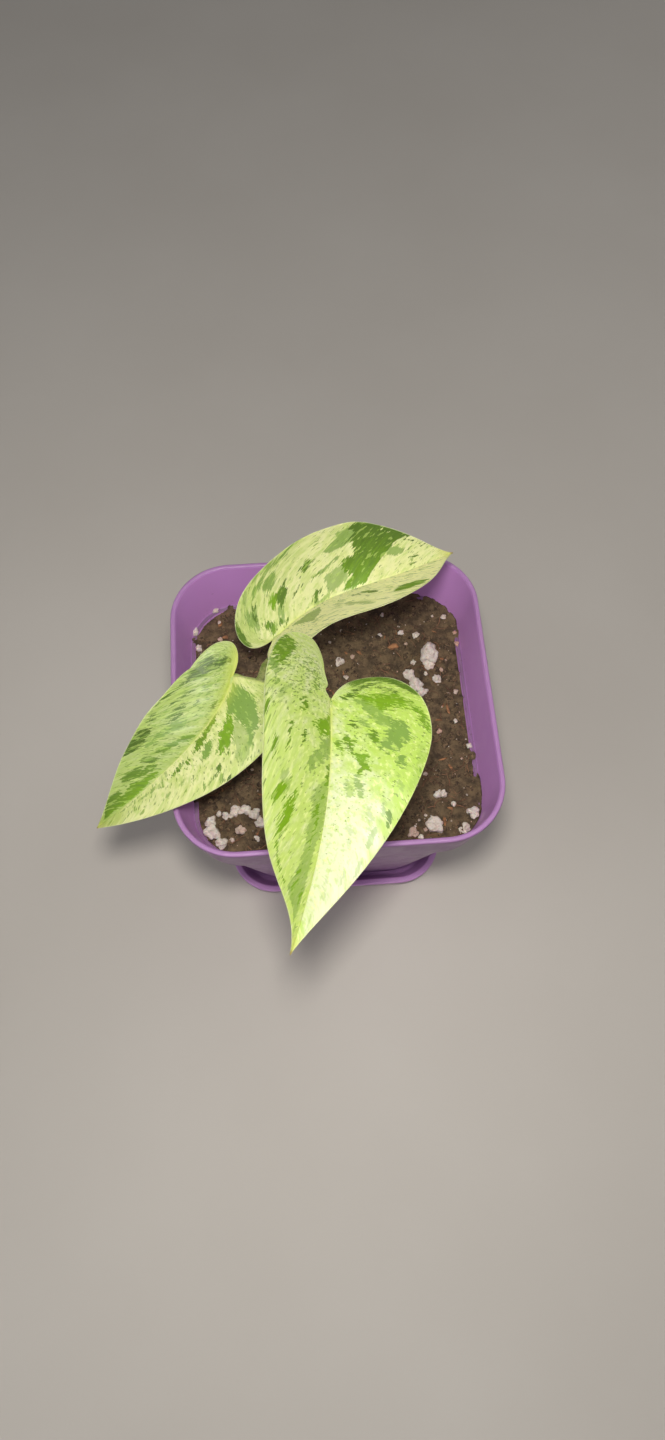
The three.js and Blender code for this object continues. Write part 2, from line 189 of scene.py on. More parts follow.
print("principled sockets:", len(Finish("try_out").shader.inputs))
bpy.data.materials.remove(bpy.data.materials["try_out"])

# %% [markdown]
# ## Floor
# Below the saucer lies a plain pale floor. It is only a stage, so it isn't part of the plant.
# A flat colour would look like paper, so faint cloudy changes of tone are mixed in.

# %% Lay the floor
FLOOR_SIDE = 12  # m
floor_finish = Finish("pale_floor", Roughness=0.6)
clouds = floor_finish.noise(160, detail=4)
pale_grey = floor_finish.mix(linear(186, 179, 170), linear(198, 192, 184), clouds)
floor_finish.set("Base Color", pale_grey)
floor_finish.relief(floor_finish.noise(1.2), 0.05)
bpy.ops.mesh.primitive_plane_add(size=FLOOR_SIDE)
floor = bpy.context.object
floor.name = "floor"
floor.data.materials.append(floor_finish.material)
print("floor side:", round(floor.dimensions.x, 1), "m")

# %% [markdown]
# ## From points to pieces
# Every piece is worked out as arrays of points and faces, because its shape follows the
# frame's own formulas. One helper turns the arrays into a mesh, gives it its finish, and ties
# it to the frame: the body it moves with, and the plain solid it stands for.

# %% Make a piece
def add_piece(name, points, faces, finish, slot, stands_for=None, smooth=True, values=None):
    """A mesh piece from points in millimetres. 'values' are kept at its points by name."""
    mesh = bpy.data.meshes.new(name)
    mesh.from_pydata([tuple(p) for p in np.asarray(points) * MM], [], [list(f) for f in faces])
    mesh.polygons.foreach_set("use_smooth", [smooth] * len(mesh.polygons))
    for key, value in (values or {}).items():
        kept = mesh.attributes.new(key, "FLOAT_VECTOR", "POINT")
        kept.data.foreach_set("vector", np.asarray(value, dtype=np.float32).ravel())
    mesh.materials.append(finish.material)
    piece = bpy.data.objects.new(name, mesh)
    bpy.context.collection.objects.link(piece)
    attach(piece, "root")
    if stands_for:
        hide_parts(stands_for)
    triangles = sum(len(p.vertices) - 2 for p in mesh.polygons)
    print(f"{name}: {triangles} triangles")
    return piece


# %% [markdown]
# ## The leaf's surface
# A pothos leaf is a heart that is folded along its midrib, with a drawn-out tip and two lobes
# that reach back past the stalk. It could be sculpted from a subdivided plane, but then its
# lobes rarely come out alike. Here the flat heart is drawn first, as three arcs for each half,
# and a formula folds, curls and waves it. The same formula made the plain solid, so the fine
# blade lies where the solid does. Its numbers come from a fit to the leaves' outlines in the
# photo, and were rounded and then changed where the leaf still looked wrong.

# %% The three leaves' dimensions
HALF_KEYS = ("sinus", "lobe", "lobe_at", "half", "half_at", "shoulder", "tip_length", "tip_width",
             "fold", "curl", "sag")
# A midrib: four points of a curve. A half: the keys above, in mm, save the shoulder's share
# and the fold in degrees. A stalk: its ring on the vine, its turn and rise, two points it passes.
LEAVES = {
    "front": {
        "midrib": [(-3, -31, 198), (-4.5, -72, 204), (-10, -91, 190), (-25, -128, 185)],
        "roll": -1, "twist": 1,
        "left": (3.4, 11.5, 20.5, 40, 13.5, 0.21, 16, 4.3, 6.5, 4, 1.5),
        "right": (2.2, 27, 12, 38.5, 12.5, 0.74, 26, 5, 49, 2.5, 1.5),
        "joint": 0, "heading": -8, "rise": 42, "bend": [(-12, 15, 139), (-6, -20, 173)],
    },
    "left": {
        "midrib": [(-44.5, 0.5, 162), (-51.5, -23, 153.5), (-95.5, -52.5, 146.5), (-111, -53, 125)],
        "roll": -4, "twist": -1.5,
        "left": (1, 2.5, 14.5, 29.5, 10, 0.35, 16, 4, 14, 5, 7),
        "right": (-3, 15.3, 4.5, 25, 32, 0.47, 17, 4, 22, 4, -0.5),
        "joint": 1, "heading": 232, "rise": 34, "bend": [(-31.2, 19.5, 131), (-34.5, 5, 147)],
    },
    "back": {
        "midrib": [(-25, 22, 156), (3.5, 41.5, 169.5), (8.5, 27.5, 178.5), (60, 53.5, 170.5)],
        "roll": -3.5, "twist": 11.5,
        "left": (0.75, 12.5, 10.5, 34.5, 37, 0.63, 12, 4.4, 14.5, 5.5, 1.5),
        "right": (6, 7, 17, 33, 21, 0.71, 14, 4.6, 43, 0.5, 0),
        "joint": 2, "heading": 25, "rise": 52, "bend": [(-18, 31, 139), (-23.5, 23.5, 148)],
    },
}
RIPPLE_HEIGHT, RIPPLE_WAVES = 0.5, 3.5
NOTCHES = {("front", "right"): 2.8}  # mm that a lobe's inner edge is nicked beside the stalk
for name, leaf in LEAVES.items():
    for half in ("left", "right"):
        leaf[half] = dict(zip(HALF_KEYS, leaf[half]), notch=NOTCHES.get((name, half), 0))
print("leaves:", ", ".join(LEAVES))


# %% [markdown]
# ## A midrib as a track
# The midrib is one cubic curve through space. Its own parameter runs unevenly, so it is cut
# into close points whose lengths are added up. Then the blade can be asked for its place so
# many millimetres from the stalk, which a curve object would not tell as plainly.

# %% A curve with known lengths
def bezier(a, b, c, d, t):
    """The places of a cubic curve at every t."""
    t = np.asarray(t, dtype=float)[..., None]
    a, b, c, d = (np.asarray(p, dtype=float) for p in (a, b, c, d))
    s = 1 - t
    return s**3 * a + 3 * s * s * t * b + 3 * s * t * t * c + t**3 * d


class Track:
    """A smooth line through close points, which can be asked for its place at a length."""

    def __init__(self, points):
        self.points = np.asarray(points, dtype=float)
        steps = np.linalg.norm(np.diff(self.points, axis=0), axis=1)
        self.reached = np.concatenate([[0], np.cumsum(steps)])
        self.length = self.reached[-1]

    def at(self, length):
        return np.stack([np.interp(length, self.reached, self.points[:, k]) for k in range(3)], -1)

    def way(self, length):
        reach = 0.01 * self.length
        ahead = self.at(np.clip(length + reach, 0, self.length))
        behind = self.at(np.clip(length - reach, 0, self.length))
        return unit(ahead - behind)


def unit(v):
    return v / np.maximum(np.linalg.norm(v, axis=-1, keepdims=True), 1e-9)


for leaf in LEAVES.values():
    leaf["track"] = Track(bezier(*leaf["midrib"], np.linspace(0, 1, 400)))
print("midribs:", [round(leaf["track"].length, 1) for leaf in LEAVES.values()], "mm")


# %% [markdown]
# ## The flat heart and its fold
# Each half's edge is three arcs: from the stalk round the lobe's back, on to the widest
# place, and down to the tip. The flat half is then turned up along the midrib, curled down
# at its edge, let sag at the lobe and waved a little. A real leaf opens in the same way from
# its roll, so the few numbers of each half have a meaning that can be looked up on the plant.

# %% The flat heart and its folded form
LOBE_SHARE, WIDE_SHARE = 0.25, 0.5  # where the edge's three arcs meet, from junction to tip
ROUND = 0.55  # a handle of this share of the way makes an arc nearly round


def flat_edge(half, length, u):
    """The place (along, out) on one half's edge, u from 0 at the junction to 1 at the tip."""
    lobe, lobe_at, wide, wide_at = half["lobe"], half["lobe_at"], half["half"], half["half_at"]
    back, widest = (-lobe, lobe_at), (wide_at, wide)
    arcs = [
        ((0, 0), (-0.7 * lobe, half["sinus"]), (-lobe, 0.45 * lobe_at), back),
        (back, (-lobe, lobe_at + ROUND * (wide - lobe_at)),
         (wide_at - ROUND * (wide_at + lobe), wide), widest),
        (widest, (wide_at + half["shoulder"] * (length - wide_at), wide),
         (length - half["tip_length"], half["tip_width"]), (length, 0)),
    ]
    starts = (0, LOBE_SHARE, WIDE_SHARE, 1)
    edge = np.zeros((len(u), 2))
    for arc, low, high in zip(arcs, starts, starts[1:]):
        here = (u >= low) & (u <= high)
        edge[here] = bezier(*arc, (u[here] - low) / (high - low))
    return edge


def blade_point(leaf, side, along, out):
    """The folded blade's middle surface at a place of the flat heart, and its own 'up'."""
    half = leaf["left" if side > 0 else "right"]
    track = leaf["track"]
    inside = np.clip(along, 0, track.length)
    way = track.way(inside)
    middle = track.at(inside) + way * np.minimum(along, 0)[..., None]
    across = unit(np.cross((0.0, 0.0, 1.0), way))
    roll = np.radians(leaf["roll"] + leaf["twist"] * inside / track.length)[..., None]
    across = across * np.cos(roll) + np.cross(way, across) * np.sin(roll)
    up = np.cross(way, across)
    fold = math.radians(half["fold"])
    width = out / half["half"]
    wave = np.sin(2 * math.pi * RIPPLE_WAVES * along / track.length + side)
    lift = (out * math.sin(fold) - half["curl"] * width**2
            - half["sag"] * (np.minimum(along, 0) / half["lobe"]) ** 2
            + RIPPLE_HEIGHT * width**2 * wave)
    return middle + across * (side * out * math.cos(fold))[..., None] + up * lift[..., None], up


for name, leaf in LEAVES.items():
    tip = blade_point(leaf, 1, np.array([leaf["track"].length]), np.array([0.0]))[0][0]
    print(name, "tip at", tip.round(1))

# %% [markdown]
# ## The marbling
# Snow queen is a white pothos whose green comes in two depths. Where the upper cells are
# green the patch is a strong green. Where only the lower cells are, a white film lies over
# it and it looks grey-green, like a veil. Both follow the veins, so each patch is a streak
# along them. Noise alone would never give the big patches their places, and a picture isn't
# wanted. So each patch is written down as a stroke or an outline in the leaf's own map. Its
# points were picked on the photo, carried over into the map with the fitted camera, and
# rounded. A point's first number tells its vein: up to 0.25 the veins fan out from the
# stalk into the lobe, and from there to 1 they leave the midrib on the way to the tip. The
# second tells how far out on the vein it lies (0 at the midrib, 1 at the edge). The shader
# later frays the edges.
#
# The front leaf comes first. Its left half is cream with streaks of green, and solid green at
# the back of its lobe, made deeper there in part as painted shade, where the lobe curls down
# and away from the lamp. Its right half is lime, with a broad veil along the midrib.

# %% The front leaf's marks
# The half numbered 1 is on the left, seen from the stalk to the tip, and -1 is on the right.
# A stroke: from (vein, out) to (vein, out), half its width in mm, and its depth of tone.
# A field: its outline's points, and its tone near the midrib and near the edge.
# Lime and specks: a share near the midrib and near the edge, then places with more or less:
# (vein, out), how far it reaches along both, and by how much.
# Film and lift: how far the whole half is veiled, and how far its ground is paled, which is
# painted light for a half that is turned from the lamp and lies in shade.
MARBLING = {}
MARBLING["front", 1] = {
    "green_fields": [
        # Partly real green and partly painted shade: this field's deep tone at the lobe's back
        # stands for the shade where the lobe curls down.
        ([(-0.32, 0.98), (-0.2, 1.02), (-0.05, 1.02), (0.07, 1.02), (0.08, 0.97), (0.06, 0.94),
          (0.03, 0.91), (0, 0.87), (-0.04, 0.84), (-0.02, 0.73), (0.06, 0.53)], 0.7, 0.75),
        ([(0.17, 0.49), (0.14, 0.59), (0.13, 0.66), (0.11, 0.74), (0.11, 0.79), (0.13, 0.83),
          (0.16, 0.85), (0.18, 0.79), (0.18, 0.73), (0.18, 0.69), (0.21, 0.64),
          (0.22, 0.58), (0.19, 0.51)], 0.1, 0.2),
        ([(0.41, 0.26), (0.41, 0.33), (0.43, 0.38), (0.45, 0.37), (0.45, 0.33),
          (0.46, 0.31), (0.44, 0.28)], 0.3, 0.3)],
    "green": [(0.2, 0.25, 0.16, 0.41, 0.6, 0.7), (0.16, 0.41, 0.17, 0.5, 1.1, 0.4),
              (0.15, 0.85, 0.18, 0.92, 0.8, 0.3), (0.18, 0.92, 0.23, 0.96, 0.9, 0.35),
              (0.09, 0.53, 0.01, 0.77, 0.45, 0.9), (0.13, 0.43, 0.06, 0.66, 0.4, 0.9),
              (0.05, 0.75, 0.09, 0.81, 0.5, 0.8), (0.31, 0.25, 0.31, 0.27, 0.6, 0.7),
              (0.37, 0.18, 0.38, 0.2, 1.0, 0.5), (0.39, 0.1, 0.4, 0.12, 1.0, 0.4),
              (0.54, 0.78, 0.55, 0.87, 0.7, 0.5), (0.33, 0.43, 0.35, 0.44, 0.6, 0.5)],
    "veil_fields": [([(0.24, 0.62), (0.25, 0.67), (0.26, 0.76), (0.28, 0.78), (0.31, 0.77),
                      (0.33, 0.71), (0.36, 0.69), (0.35, 0.62), (0.38, 0.55), (0.36, 0.49),
                      (0.34, 0.54), (0.3, 0.59)], 1, 1)],
    "veil": [(0.39, 0.7, 0.41, 0.73, 1.2, 1), (0.34, 0.42, 0.34, 0.46, 1.2, 0.8),
             (0.29, 0.35, 0.3, 0.38, 1.0, 0.8), (0.49, 0.26, 0.53, 0.34, 1.1, 0.8),
             (0.5, 0.18, 0.53, 0.22, 0.8, 0.6), (0.6, 0.7, 0.62, 0.73, 1.6, 0.6),
             (0.53, 0.66, 0.54, 0.7, 0.8, 0.6), (0.45, 0.72, 0.47, 0.82, 0.8, 0.5),
             (0.62, 0.3, 0.66, 0.45, 0.8, 0.3), (0.7, 0.55, 0.74, 0.7, 0.8, 0.3),
             (0.78, 0.3, 0.8, 0.5, 0.7, 0.3), (0.56, 0.5, 0.6, 0.62, 0.8, 0.35),
             (0.66, 0.8, 0.7, 0.92, 0.8, 0.4), (0.86, 0.4, 0.9, 0.7, 0.6, 0.3),
             (0.2, 0.46, 0.27, 0.56, 3.0, 0.8), (0.33, 0.93, 0.44, 0.94, 1.8, 0.3)],
    "lime": [(0.05, 0.9, 0.2, 0.5, 0.5), (0.3, 0.4, 0.2, 0.5, 0.45), (0.95, 0.3, 0.06, 1, 0.4),
             (0.36, 0.95, 0.22, 0.35, 0.9), (0.7, 0.5, 0.15, 1, -0.25)],
    "base": (0.25, 0.35),
    "specks": [(0.36, 0.15, 0.07, 0.2, 0.5), (0.06, 0.65, 0.1, 0.25, 0.6),
               (0.28, 0.9, 0.1, 0.15, 0.4), (0.8, 0.5, 0.2, 1, -0.9)],
    "speck_base": (0.3, 0.35),
}
MARBLING["front", -1] = {
    "green_fields": [
        ([(0.03, 0.99), (0, 0.98), (0.02, 0.9), (0.06, 0.83), (0.12, 0.82), (0.15, 0.83),
          (0.15, 0.88), (0.12, 0.95), (0.09, 0.97)], 0.35, 0.5),
        ([(0.35, 0.3), (0.34, 0.26), (0.33, 0.17), (0.3, 0.04), (0.3, 0), (0.37, 0),
          (0.37, 0.11), (0.37, 0.19), (0.36, 0.23)], 0.05, 0),
        ([(0.49, 0.48), (0.51, 0.52), (0.53, 0.55), (0.54, 0.61), (0.55, 0.68), (0.53, 0.79),
          (0.51, 0.81), (0.52, 0.68), (0.5, 0.64), (0.49, 0.57)], 0, 0.05),
        ([(0.44, 0.88), (0.43, 0.86), (0.44, 0.75), (0.45, 0.62), (0.46, 0.68),
          (0.45, 0.81)], 0.1, 0.2)],
    "green": [(0.36, 0.61, 0.37, 0.63, 0.4, 0.5), (0.38, 0.4, 0.39, 0.42, 0.4, 0.5),
              (0.51, 0.54, 0.54, 0.63, 0.9, 0), (0.54, 0.64, 0.53, 0.78, 1.5, 0),
              (0.33, 0.84, 0.35, 0.84, 0.6, 0.4), (0.25, 0.96, 0.26, 0.96, 0.5, 0.5),
              (0.29, 0.47, 0.29, 0.49, 0.5, 0.4), (0.31, 0.44, 0.31, 0.46, 0.5, 0.4),
              (0.2, 0.33, 0.22, 0.37, 0.6, 0.4), (0.54, 0.84, 0.64, 0.86, 0.1, 0.3),
              (0.64, 0.86, 0.7, 0.83, 0, 0.3), (0.6, 0.13, 0.66, 0.22, 0.3, 0.1),
              (0.72, 0.4, 0.76, 0.66, 0.8, 0), (0.8, 0.3, 0.83, 0.45, 0.5, 0.1),
              (0.55, 0.1, 0.58, 0.2, 0.2, 0.3), (0.47, 0.02, 0.51, 0.03, 0.5, 0.4)],
    "veil_fields": [
        ([(0.5, 0), (0.62, 0.02), (0.74, 0.17), (0.81, 0.25), (0.85, 0.38), (0.88, 0.74),
          (0.83, 0.69), (0.76, 0.79), (0.73, 0.76), (0.72, 0.49), (0.68, 0.35),
          (0.62, 0.28), (0.57, 0.23), (0.52, 0.22)], 0.6, 0.7),
        ([(0.39, 0.16), (0.37, 0), (0.42, 0), (0.45, 0.14), (0.47, 0.26), (0.47, 0.31),
          (0.45, 0.33), (0.43, 0.26), (0.42, 0.19)], 0.75, 0.75)],
    "veil": [(0.13, 0.98, 0.17, 0.9, 1.2, 0.9), (0.25, 0.72, 0.26, 0.76, 1.2, 0.5),
             (0.22, 0.86, 0.23, 0.9, 0.8, 0.5), (0.9, 0.5, 0.93, 0.9, 0.7, 0.7),
             (0.43, 0.7, 0.46, 0.62, 1.4, 0.5)],
    "lime": [(0.1, 0.5, 0.14, 0.4, -0.25), (0.3, 0.1, 0.1, 0.15, -0.2)],
    "base": (0.8, 0.62),
    "specks": [(0.14, 0.5, 0.14, 0.4, 1.2), (0.37, 0.45, 0.07, 0.3, -0.5)],
    "speck_base": (0.2, 0.3),
    # Painted light: this half's ground is paled a little, as it is folded steeply away from the
    # lamp.
    "lift": 0.15,
}
MARK_KINDS = ("green", "green_fields", "veil", "veil_fields", "cream")


def count_marks(name):
    """How many marks lie on a leaf's two halves."""
    return sum(len(MARBLING[name, side].get(kind, ())) for side in (1, -1) for kind in MARK_KINDS)


print("marks on the front leaf:", count_marks("front"))

# %% [markdown]
# ## The left leaf's marks
# This leaf's left half has a large veil beside the stalk. Its right half is the greenest of
# all: solid green from the middle to the tip, a few patches of a very dark green, and a thin
# film over the rest. Very dark patches get a tone above 1.

# %% The left leaf's marks
MARBLING["left", 1] = {
    "green_fields": [([(0.35, 0.22), (0.35, 0.31), (0.37, 0.38), (0.41, 0.46), (0.43, 0.49),
                       (0.46, 0.48), (0.46, 0.41), (0.44, 0.33), (0.42, 0.27),
                       (0.38, 0.24)], 0.2, 0.3)],
    "green": [(0.45, 0.05, 0.5, 0.11, 1.3, 0.5), (0.5, 0.05, 0.52, 0.12, 0.6, 0.6),
              (0.39, 0.02, 0.44, 0.06, 0.8, 0.5), (0.45, 0.58, 0.48, 0.66, 0.5, 0.8),
              (0.48, 0.69, 0.49, 0.73, 0.5, 0.7), (0.59, 0.12, 0.62, 0.19, 0.5, 0.7),
              (0.43, 0.96, 0.45, 0.94, 0.35, 1), (0.56, 0.18, 0.57, 0.2, 0.5, 0.6)],
    "veil_fields": [
        ([(0.26, 0.09), (0.22, 0.24), (0.19, 0.41), (0.18, 0.55), (0.22, 0.59), (0.26, 0.66),
          (0.3, 0.71), (0.33, 0.68), (0.35, 0.76), (0.36, 0.8), (0.37, 0.71), (0.36, 0.64),
          (0.33, 0.55), (0.33, 0.41), (0.33, 0.28), (0.34, 0.17), (0.32, 0.08)], 1, 1),
        ([(0.34, 0.36), (0.34, 0.54), (0.36, 0.71), (0.36, 0.81), (0.39, 0.91), (0.41, 0.7),
          (0.41, 0.51), (0.37, 0.38)], 0.55, 0.55)],
    "veil": [(0.48, 0.22, 0.5, 0.32, 1.7, 1), (0.65, 0.05, 0.69, 0.21, 0.7, 0.6),
             (0.65, 0.52, 0.66, 0.56, 0.7, 0.7), (0.71, 0.17, 0.72, 0.2, 1.0, 0.8),
             (0.6, 0.42, 0.61, 0.45, 0.7, 0.6), (0.77, 0.07, 0.8, 0.09, 0.6, 0.8),
             (0.81, 0.14, 0.85, 0.17, 0.6, 0.8), (0.73, 0.18, 0.76, 0.18, 0.6, 0.7)],
    "lime": [(0.15, 0.9, 0.14, 0.3, 0.5), (0.9, 0.3, 0.08, 1, 0.5)],
    "base": (0.28, 0.55),
    "specks": [(0.45, 0.85, 0.09, 0.2, 0.65), (0.7, 0.4, 0.12, 0.4, 0.35)],
    "speck_base": (0.35, 0.5),
}
MARBLING["left", -1] = {
    "green_fields": [
        ([(0.92, 0.5), (0.84, 0.86), (0.77, 0.97), (0.75, 0.82), (0.74, 0.65), (0.75, 0.53),
          (0.78, 0.48), (0.77, 0.38), (0.71, 0.41), (0.7, 0.28), (0.66, 0.18), (0.65, 0.11),
          (0.68, 0.06), (0.71, 0.09), (0.75, 0.05), (0.83, 0.08), (0.86, 0.26),
          (0.91, 0.3)], 0.3, 0.85),
        ([(0.66, 0.76), (0.64, 0.67), (0.62, 0.54), (0.62, 0.44), (0.65, 0.39), (0.61, 0.36),
          (0.62, 0.22), (0.65, 0.21), (0.67, 0.32), (0.68, 0.47), (0.68, 0.67)], 0.5, 0.8),
        ([(0.52, 1.02), (0.44, 1.04), (0.4, 0.95), (0.39, 0.84), (0.41, 0.76), (0.46, 0.73),
          (0.5, 0.77), (0.52, 0.9)], 1.4, 1.4),
        ([(0.18, 0.85), (0.13, 0.9), (0.09, 0.94), (0.05, 0.93), (0.04, 0.84), (0.06, 0.72),
          (0.09, 0.74), (0.12, 0.68), (0.17, 0.7), (0.19, 0.78)], 1.3, 1.3),
        ([(0.15, 0.75), (0.11, 0.72), (0.07, 0.64), (0.08, 0.52), (0.12, 0.44),
          (0.15, 0.6)], 1.4, 1.4),
        ([(0.53, 0.43), (0.52, 0.33), (0.5, 0.26), (0.48, 0.21), (0.47, 0.09), (0.49, 0.08),
          (0.5, 0.18), (0.53, 0.24), (0.55, 0.27), (0.54, 0.38)], 0.5, 0.5)],
    "green": [(0.58, 0.53, 0.59, 0.33, 1.2, 0.7), (0.36, 0.64, 0.37, 0.66, 0.8, 0.7),
              (0.37, 0.5, 0.39, 0.56, 0.5, 0.9), (0.33, 0.56, 0.33, 0.62, 0.5, 0.9),
              (0.33, 0.41, 0.34, 0.43, 0.4, 0.9), (0.26, 0.66, 0.27, 0.67, 0.5, 0.9),
              (0.29, 0.73, 0.29, 0.75, 0.4, 1), (0.32, 0.83, 0.32, 0.88, 0.4, 1),
              (0.2, 0.86, 0.2, 0.79, 0.5, 1), (0.35, 0.88, 0.35, 0.83, 0.4, 1),
              (0.34, 0.13, 0.36, 0.14, 0.9, 0.8), (0.32, 0.02, 0.33, 0.1, 0.6, 0.6),
              (0.21, 0.91, 0.24, 0.96, 0.5, 1), (0.36, 0.54, 0.36, 0.59, 0.4, 0.9)],
    "veil_fields": [([(0.47, 0.61), (0.44, 0.61), (0.42, 0.55), (0.39, 0.5), (0.4, 0.36),
                      (0.43, 0.31), (0.45, 0.4), (0.48, 0.52), (0.51, 0.62),
                      (0.5, 0.66)], 0.95, 0.95)],
    "veil": [(0.44, 0.62, 0.5, 0.72, 1.0, 0.7), (0.42, 0.2, 0.45, 0.3, 1.0, 0.5),
             (0.55, 0.2, 0.57, 0.25, 1.2, 0.7)],
    "lime": [(0.3, 0.5, 0.35, 0.8, 0.2), (0.92, 0.3, 0.06, 1, 0.5)],
    "base": (0.5, 0.45),
    "specks": [(0.3, 0.6, 0.3, 0.5, 0.5), (0.05, 0.8, 0.12, 0.3, 0.3)],
    "speck_base": (0.5, 0.9),
    "film": 0.5,
}
print("marks on the left leaf:", count_marks("left"))

# %% [markdown]
# ## The back leaf's marks
# The back leaf's left half carries the largest patch of all, from the midrib out to the edge.
# Its right half is turned away from the lens and nearly plain, so it has only a few marks.

# %% The back leaf's marks
MARBLING["back", 1] = {
    "green_fields": [
        ([(0.38, 0.94), (0.39, 1.02), (0.54, 1.02), (0.68, 1.02), (0.64, 0.79), (0.64, 0.52),
          (0.64, 0.33), (0.63, 0.18), (0.63, 0.06), (0.6, 0.01), (0.55, 0.04), (0.55, 0.11),
          (0.56, 0.21), (0.53, 0.26), (0.48, 0.38), (0.48, 0.45), (0.51, 0.48), (0.49, 0.6),
          (0.44, 0.71), (0.43, 0.83)], 0.3, 1),
        ([(0.23, 0.59), (0.26, 0.53), (0.27, 0.44), (0.27, 0.39), (0.25, 0.45)], 0, 0),
        ([(0.27, 0.54), (0.28, 0.56), (0.31, 0.46), (0.31, 0.42), (0.3, 0.31), (0.29, 0.36),
          (0.27, 0.45)], 0.7, 0.7),
        ([(0.19, 0.41), (0.23, 0.34), (0.25, 0.26), (0.26, 0.11), (0.24, 0.11),
          (0.22, 0.27)], 0.5, 0.6),
        ([(0.34, 0.52), (0.33, 0.59), (0.34, 0.61), (0.35, 0.56), (0.35, 0.52)], 0.7, 0.7),
        ([(-0.04, 0.97), (-0.03, 0.89), (-0.02, 0.83), (-0.05, 0.78), (-0.22, 0.91),
          (-0.24, 1), (-0.15, 1.02), (-0.1, 1.02)], 0.6, 0.7)],
    "green": [(0.77, 0.4, 0.8, 0.45, 0.3, 0.7), (0.8, 0.18, 0.81, 0.2, 0.5, 0.7),
              (0.75, 0.9, 0.77, 0.8, 0.1, 0.8), (0.67, 0.84, 0.71, 0.88, 0.1, 1),
              (0.73, 0.96, 0.93, 0.98, -0.1, 1), (0.44, 0.07, 0.44, 0.15, 0.7, 0.7),
              (0.35, 0.33, 0.36, 0.35, 0.2, 0.8), (0.32, 0.12, 0.31, 0.04, 0.4, 0.6),
              (0.29, 0.15, 0.29, 0.18, 0.5, 0.6), (0.13, 0.73, 0.15, 0.66, 0.3, 0.9),
              (0.13, 0.67, 0.15, 0.57, 0.4, 0.8), (0.4, 0.38, 0.41, 0.39, 0.1, 0.5)],
    "veil_fields": [
        ([(0.45, 0.3), (0.46, 0.34), (0.48, 0.38), (0.53, 0.26), (0.54, 0.17), (0.52, 0.1),
          (0.51, 0.07), (0.49, 0.1), (0.47, 0.18)], 0.72, 0.72),
        ([(0.38, 0.9), (0.42, 0.85), (0.44, 0.79), (0.44, 0.71), (0.43, 0.64), (0.39, 0.62),
          (0.36, 0.64), (0.36, 0.71), (0.37, 0.79), (0.34, 0.87)], 0.86, 0.86),
        ([(0.06, 0.84), (0.12, 0.72), (0.15, 0.69), (0.16, 0.58), (0.16, 0.45), (0.12, 0.56),
          (0.08, 0.72)], 0.8, 0.8),
        ([(0.64, 0.61), (0.7, 0.61), (0.72, 0.5), (0.69, 0.44), (0.66, 0.46)], 0.8, 0.8)],
    "veil": [(0.42, 0.39, 0.44, 0.49, 0.9, 0.8), (0.45, 0.02, 0.49, 0.04, 0.8, 0.8),
             (0.13, 0.84, 0.15, 0.84, 1.3, 0.9), (0.19, 0.79, 0.22, 0.69, 1.5, 0.9),
             (0.1, 0.98, 0.12, 0.98, 0.8, 0.8), (0.18, 0.93, 0.19, 0.99, 1.2, 1),
             (0.14, 0.96, 0.16, 0.94, 0.9, 0.8), (0.29, 0.33, 0.3, 0.13, 1.0, 0.8),
             (0.06, 0.96, 0.08, 0.87, 0.9, 0.6)],
    "cream": [(0.53, 0.93, 0.57, 0.9, 0.5, 0)],
    "lime": [(0.05, 0.6, 0.12, 0.5, 0.4), (0.3, 0.15, 0.08, 0.3, 0.2)],
    "base": (0.2, 0.45),
    "specks": [(0.85, 0.5, 0.15, 0.5, 0.5), (0.1, 0.6, 0.1, 0.4, 0.3)],
    "speck_base": (0.1, 0.45),
}
MARBLING["back", -1] = {
    "green_fields": [
        ([(0.55, 0.7), (0.6, 0.61), (0.62, 0.64), (0.64, 0.75), (0.63, 0.92), (0.59, 0.94),
          (0.58, 0.86), (0.56, 0.82)], 0.3, 0.4)],
    "green": [(0.57, 0.27, 0.57, 0.41, 0.6, 0.7), (0.54, 0.27, 0.55, 0.3, 0.7, 0.7)],
    "veil_fields": [
        ([(0.32, 0.15), (0.36, 0.16), (0.4, 0.15), (0.44, 0.16), (0.44, 0.28), (0.41, 0.41),
          (0.38, 0.49), (0.35, 0.39), (0.33, 0.23)], 0.8, 0.8)],
    "veil": [(0.48, 0.49, 0.45, 0.79, 0.8, 0.6), (0.36, 0.57, 0.4, 0.54, 0.8, 0.5),
             (0.45, 0.5, 0.5, 0.3, 0.8, 0.4)],
    "lime": [(0.3, 0.3, 0.1, 0.5, 0.2)],
    "base": (0.2, 0.45),
    "specks": [(0.8, 0.5, 0.2, 0.5, 0.3)],
    "speck_base": (0.3, 0.4),
    # Painted light: this half's ground is paled in full, as it is turned away from the lamp and
    # lies in shade.
    "lift": 1,
}
print("marks on the back leaf:", count_marks("back"))

# %% [markdown]
# ## From strokes to values on the blade
# At each point of the blade the distance to the nearest stroke's edge is worked out, positive
# inside. A distance is better than a plain yes or no, because the shader can fray and soften
# the edge at any scale, finer than the mesh itself.

# %% Distances to the strokes
MAP_LENGTH, MAP_WIDTH = 125.0, 38.0  # mm that the map's two directions measure on a leaf
FAR = -8.0


def on_map(vein, out):
    """Places of a leaf's map, in mm."""
    return np.stack([np.asarray(vein) * MAP_LENGTH, np.asarray(out) * MAP_WIDTH], -1)


def from_segment(places, a, b):
    """Distance of places from the straight line between two points."""
    run = b - a
    share = np.clip(((places - a) @ run) / max(run @ run, 1e-9), 0, 1)
    return np.linalg.norm(places - a - share[..., None] * run, axis=-1)


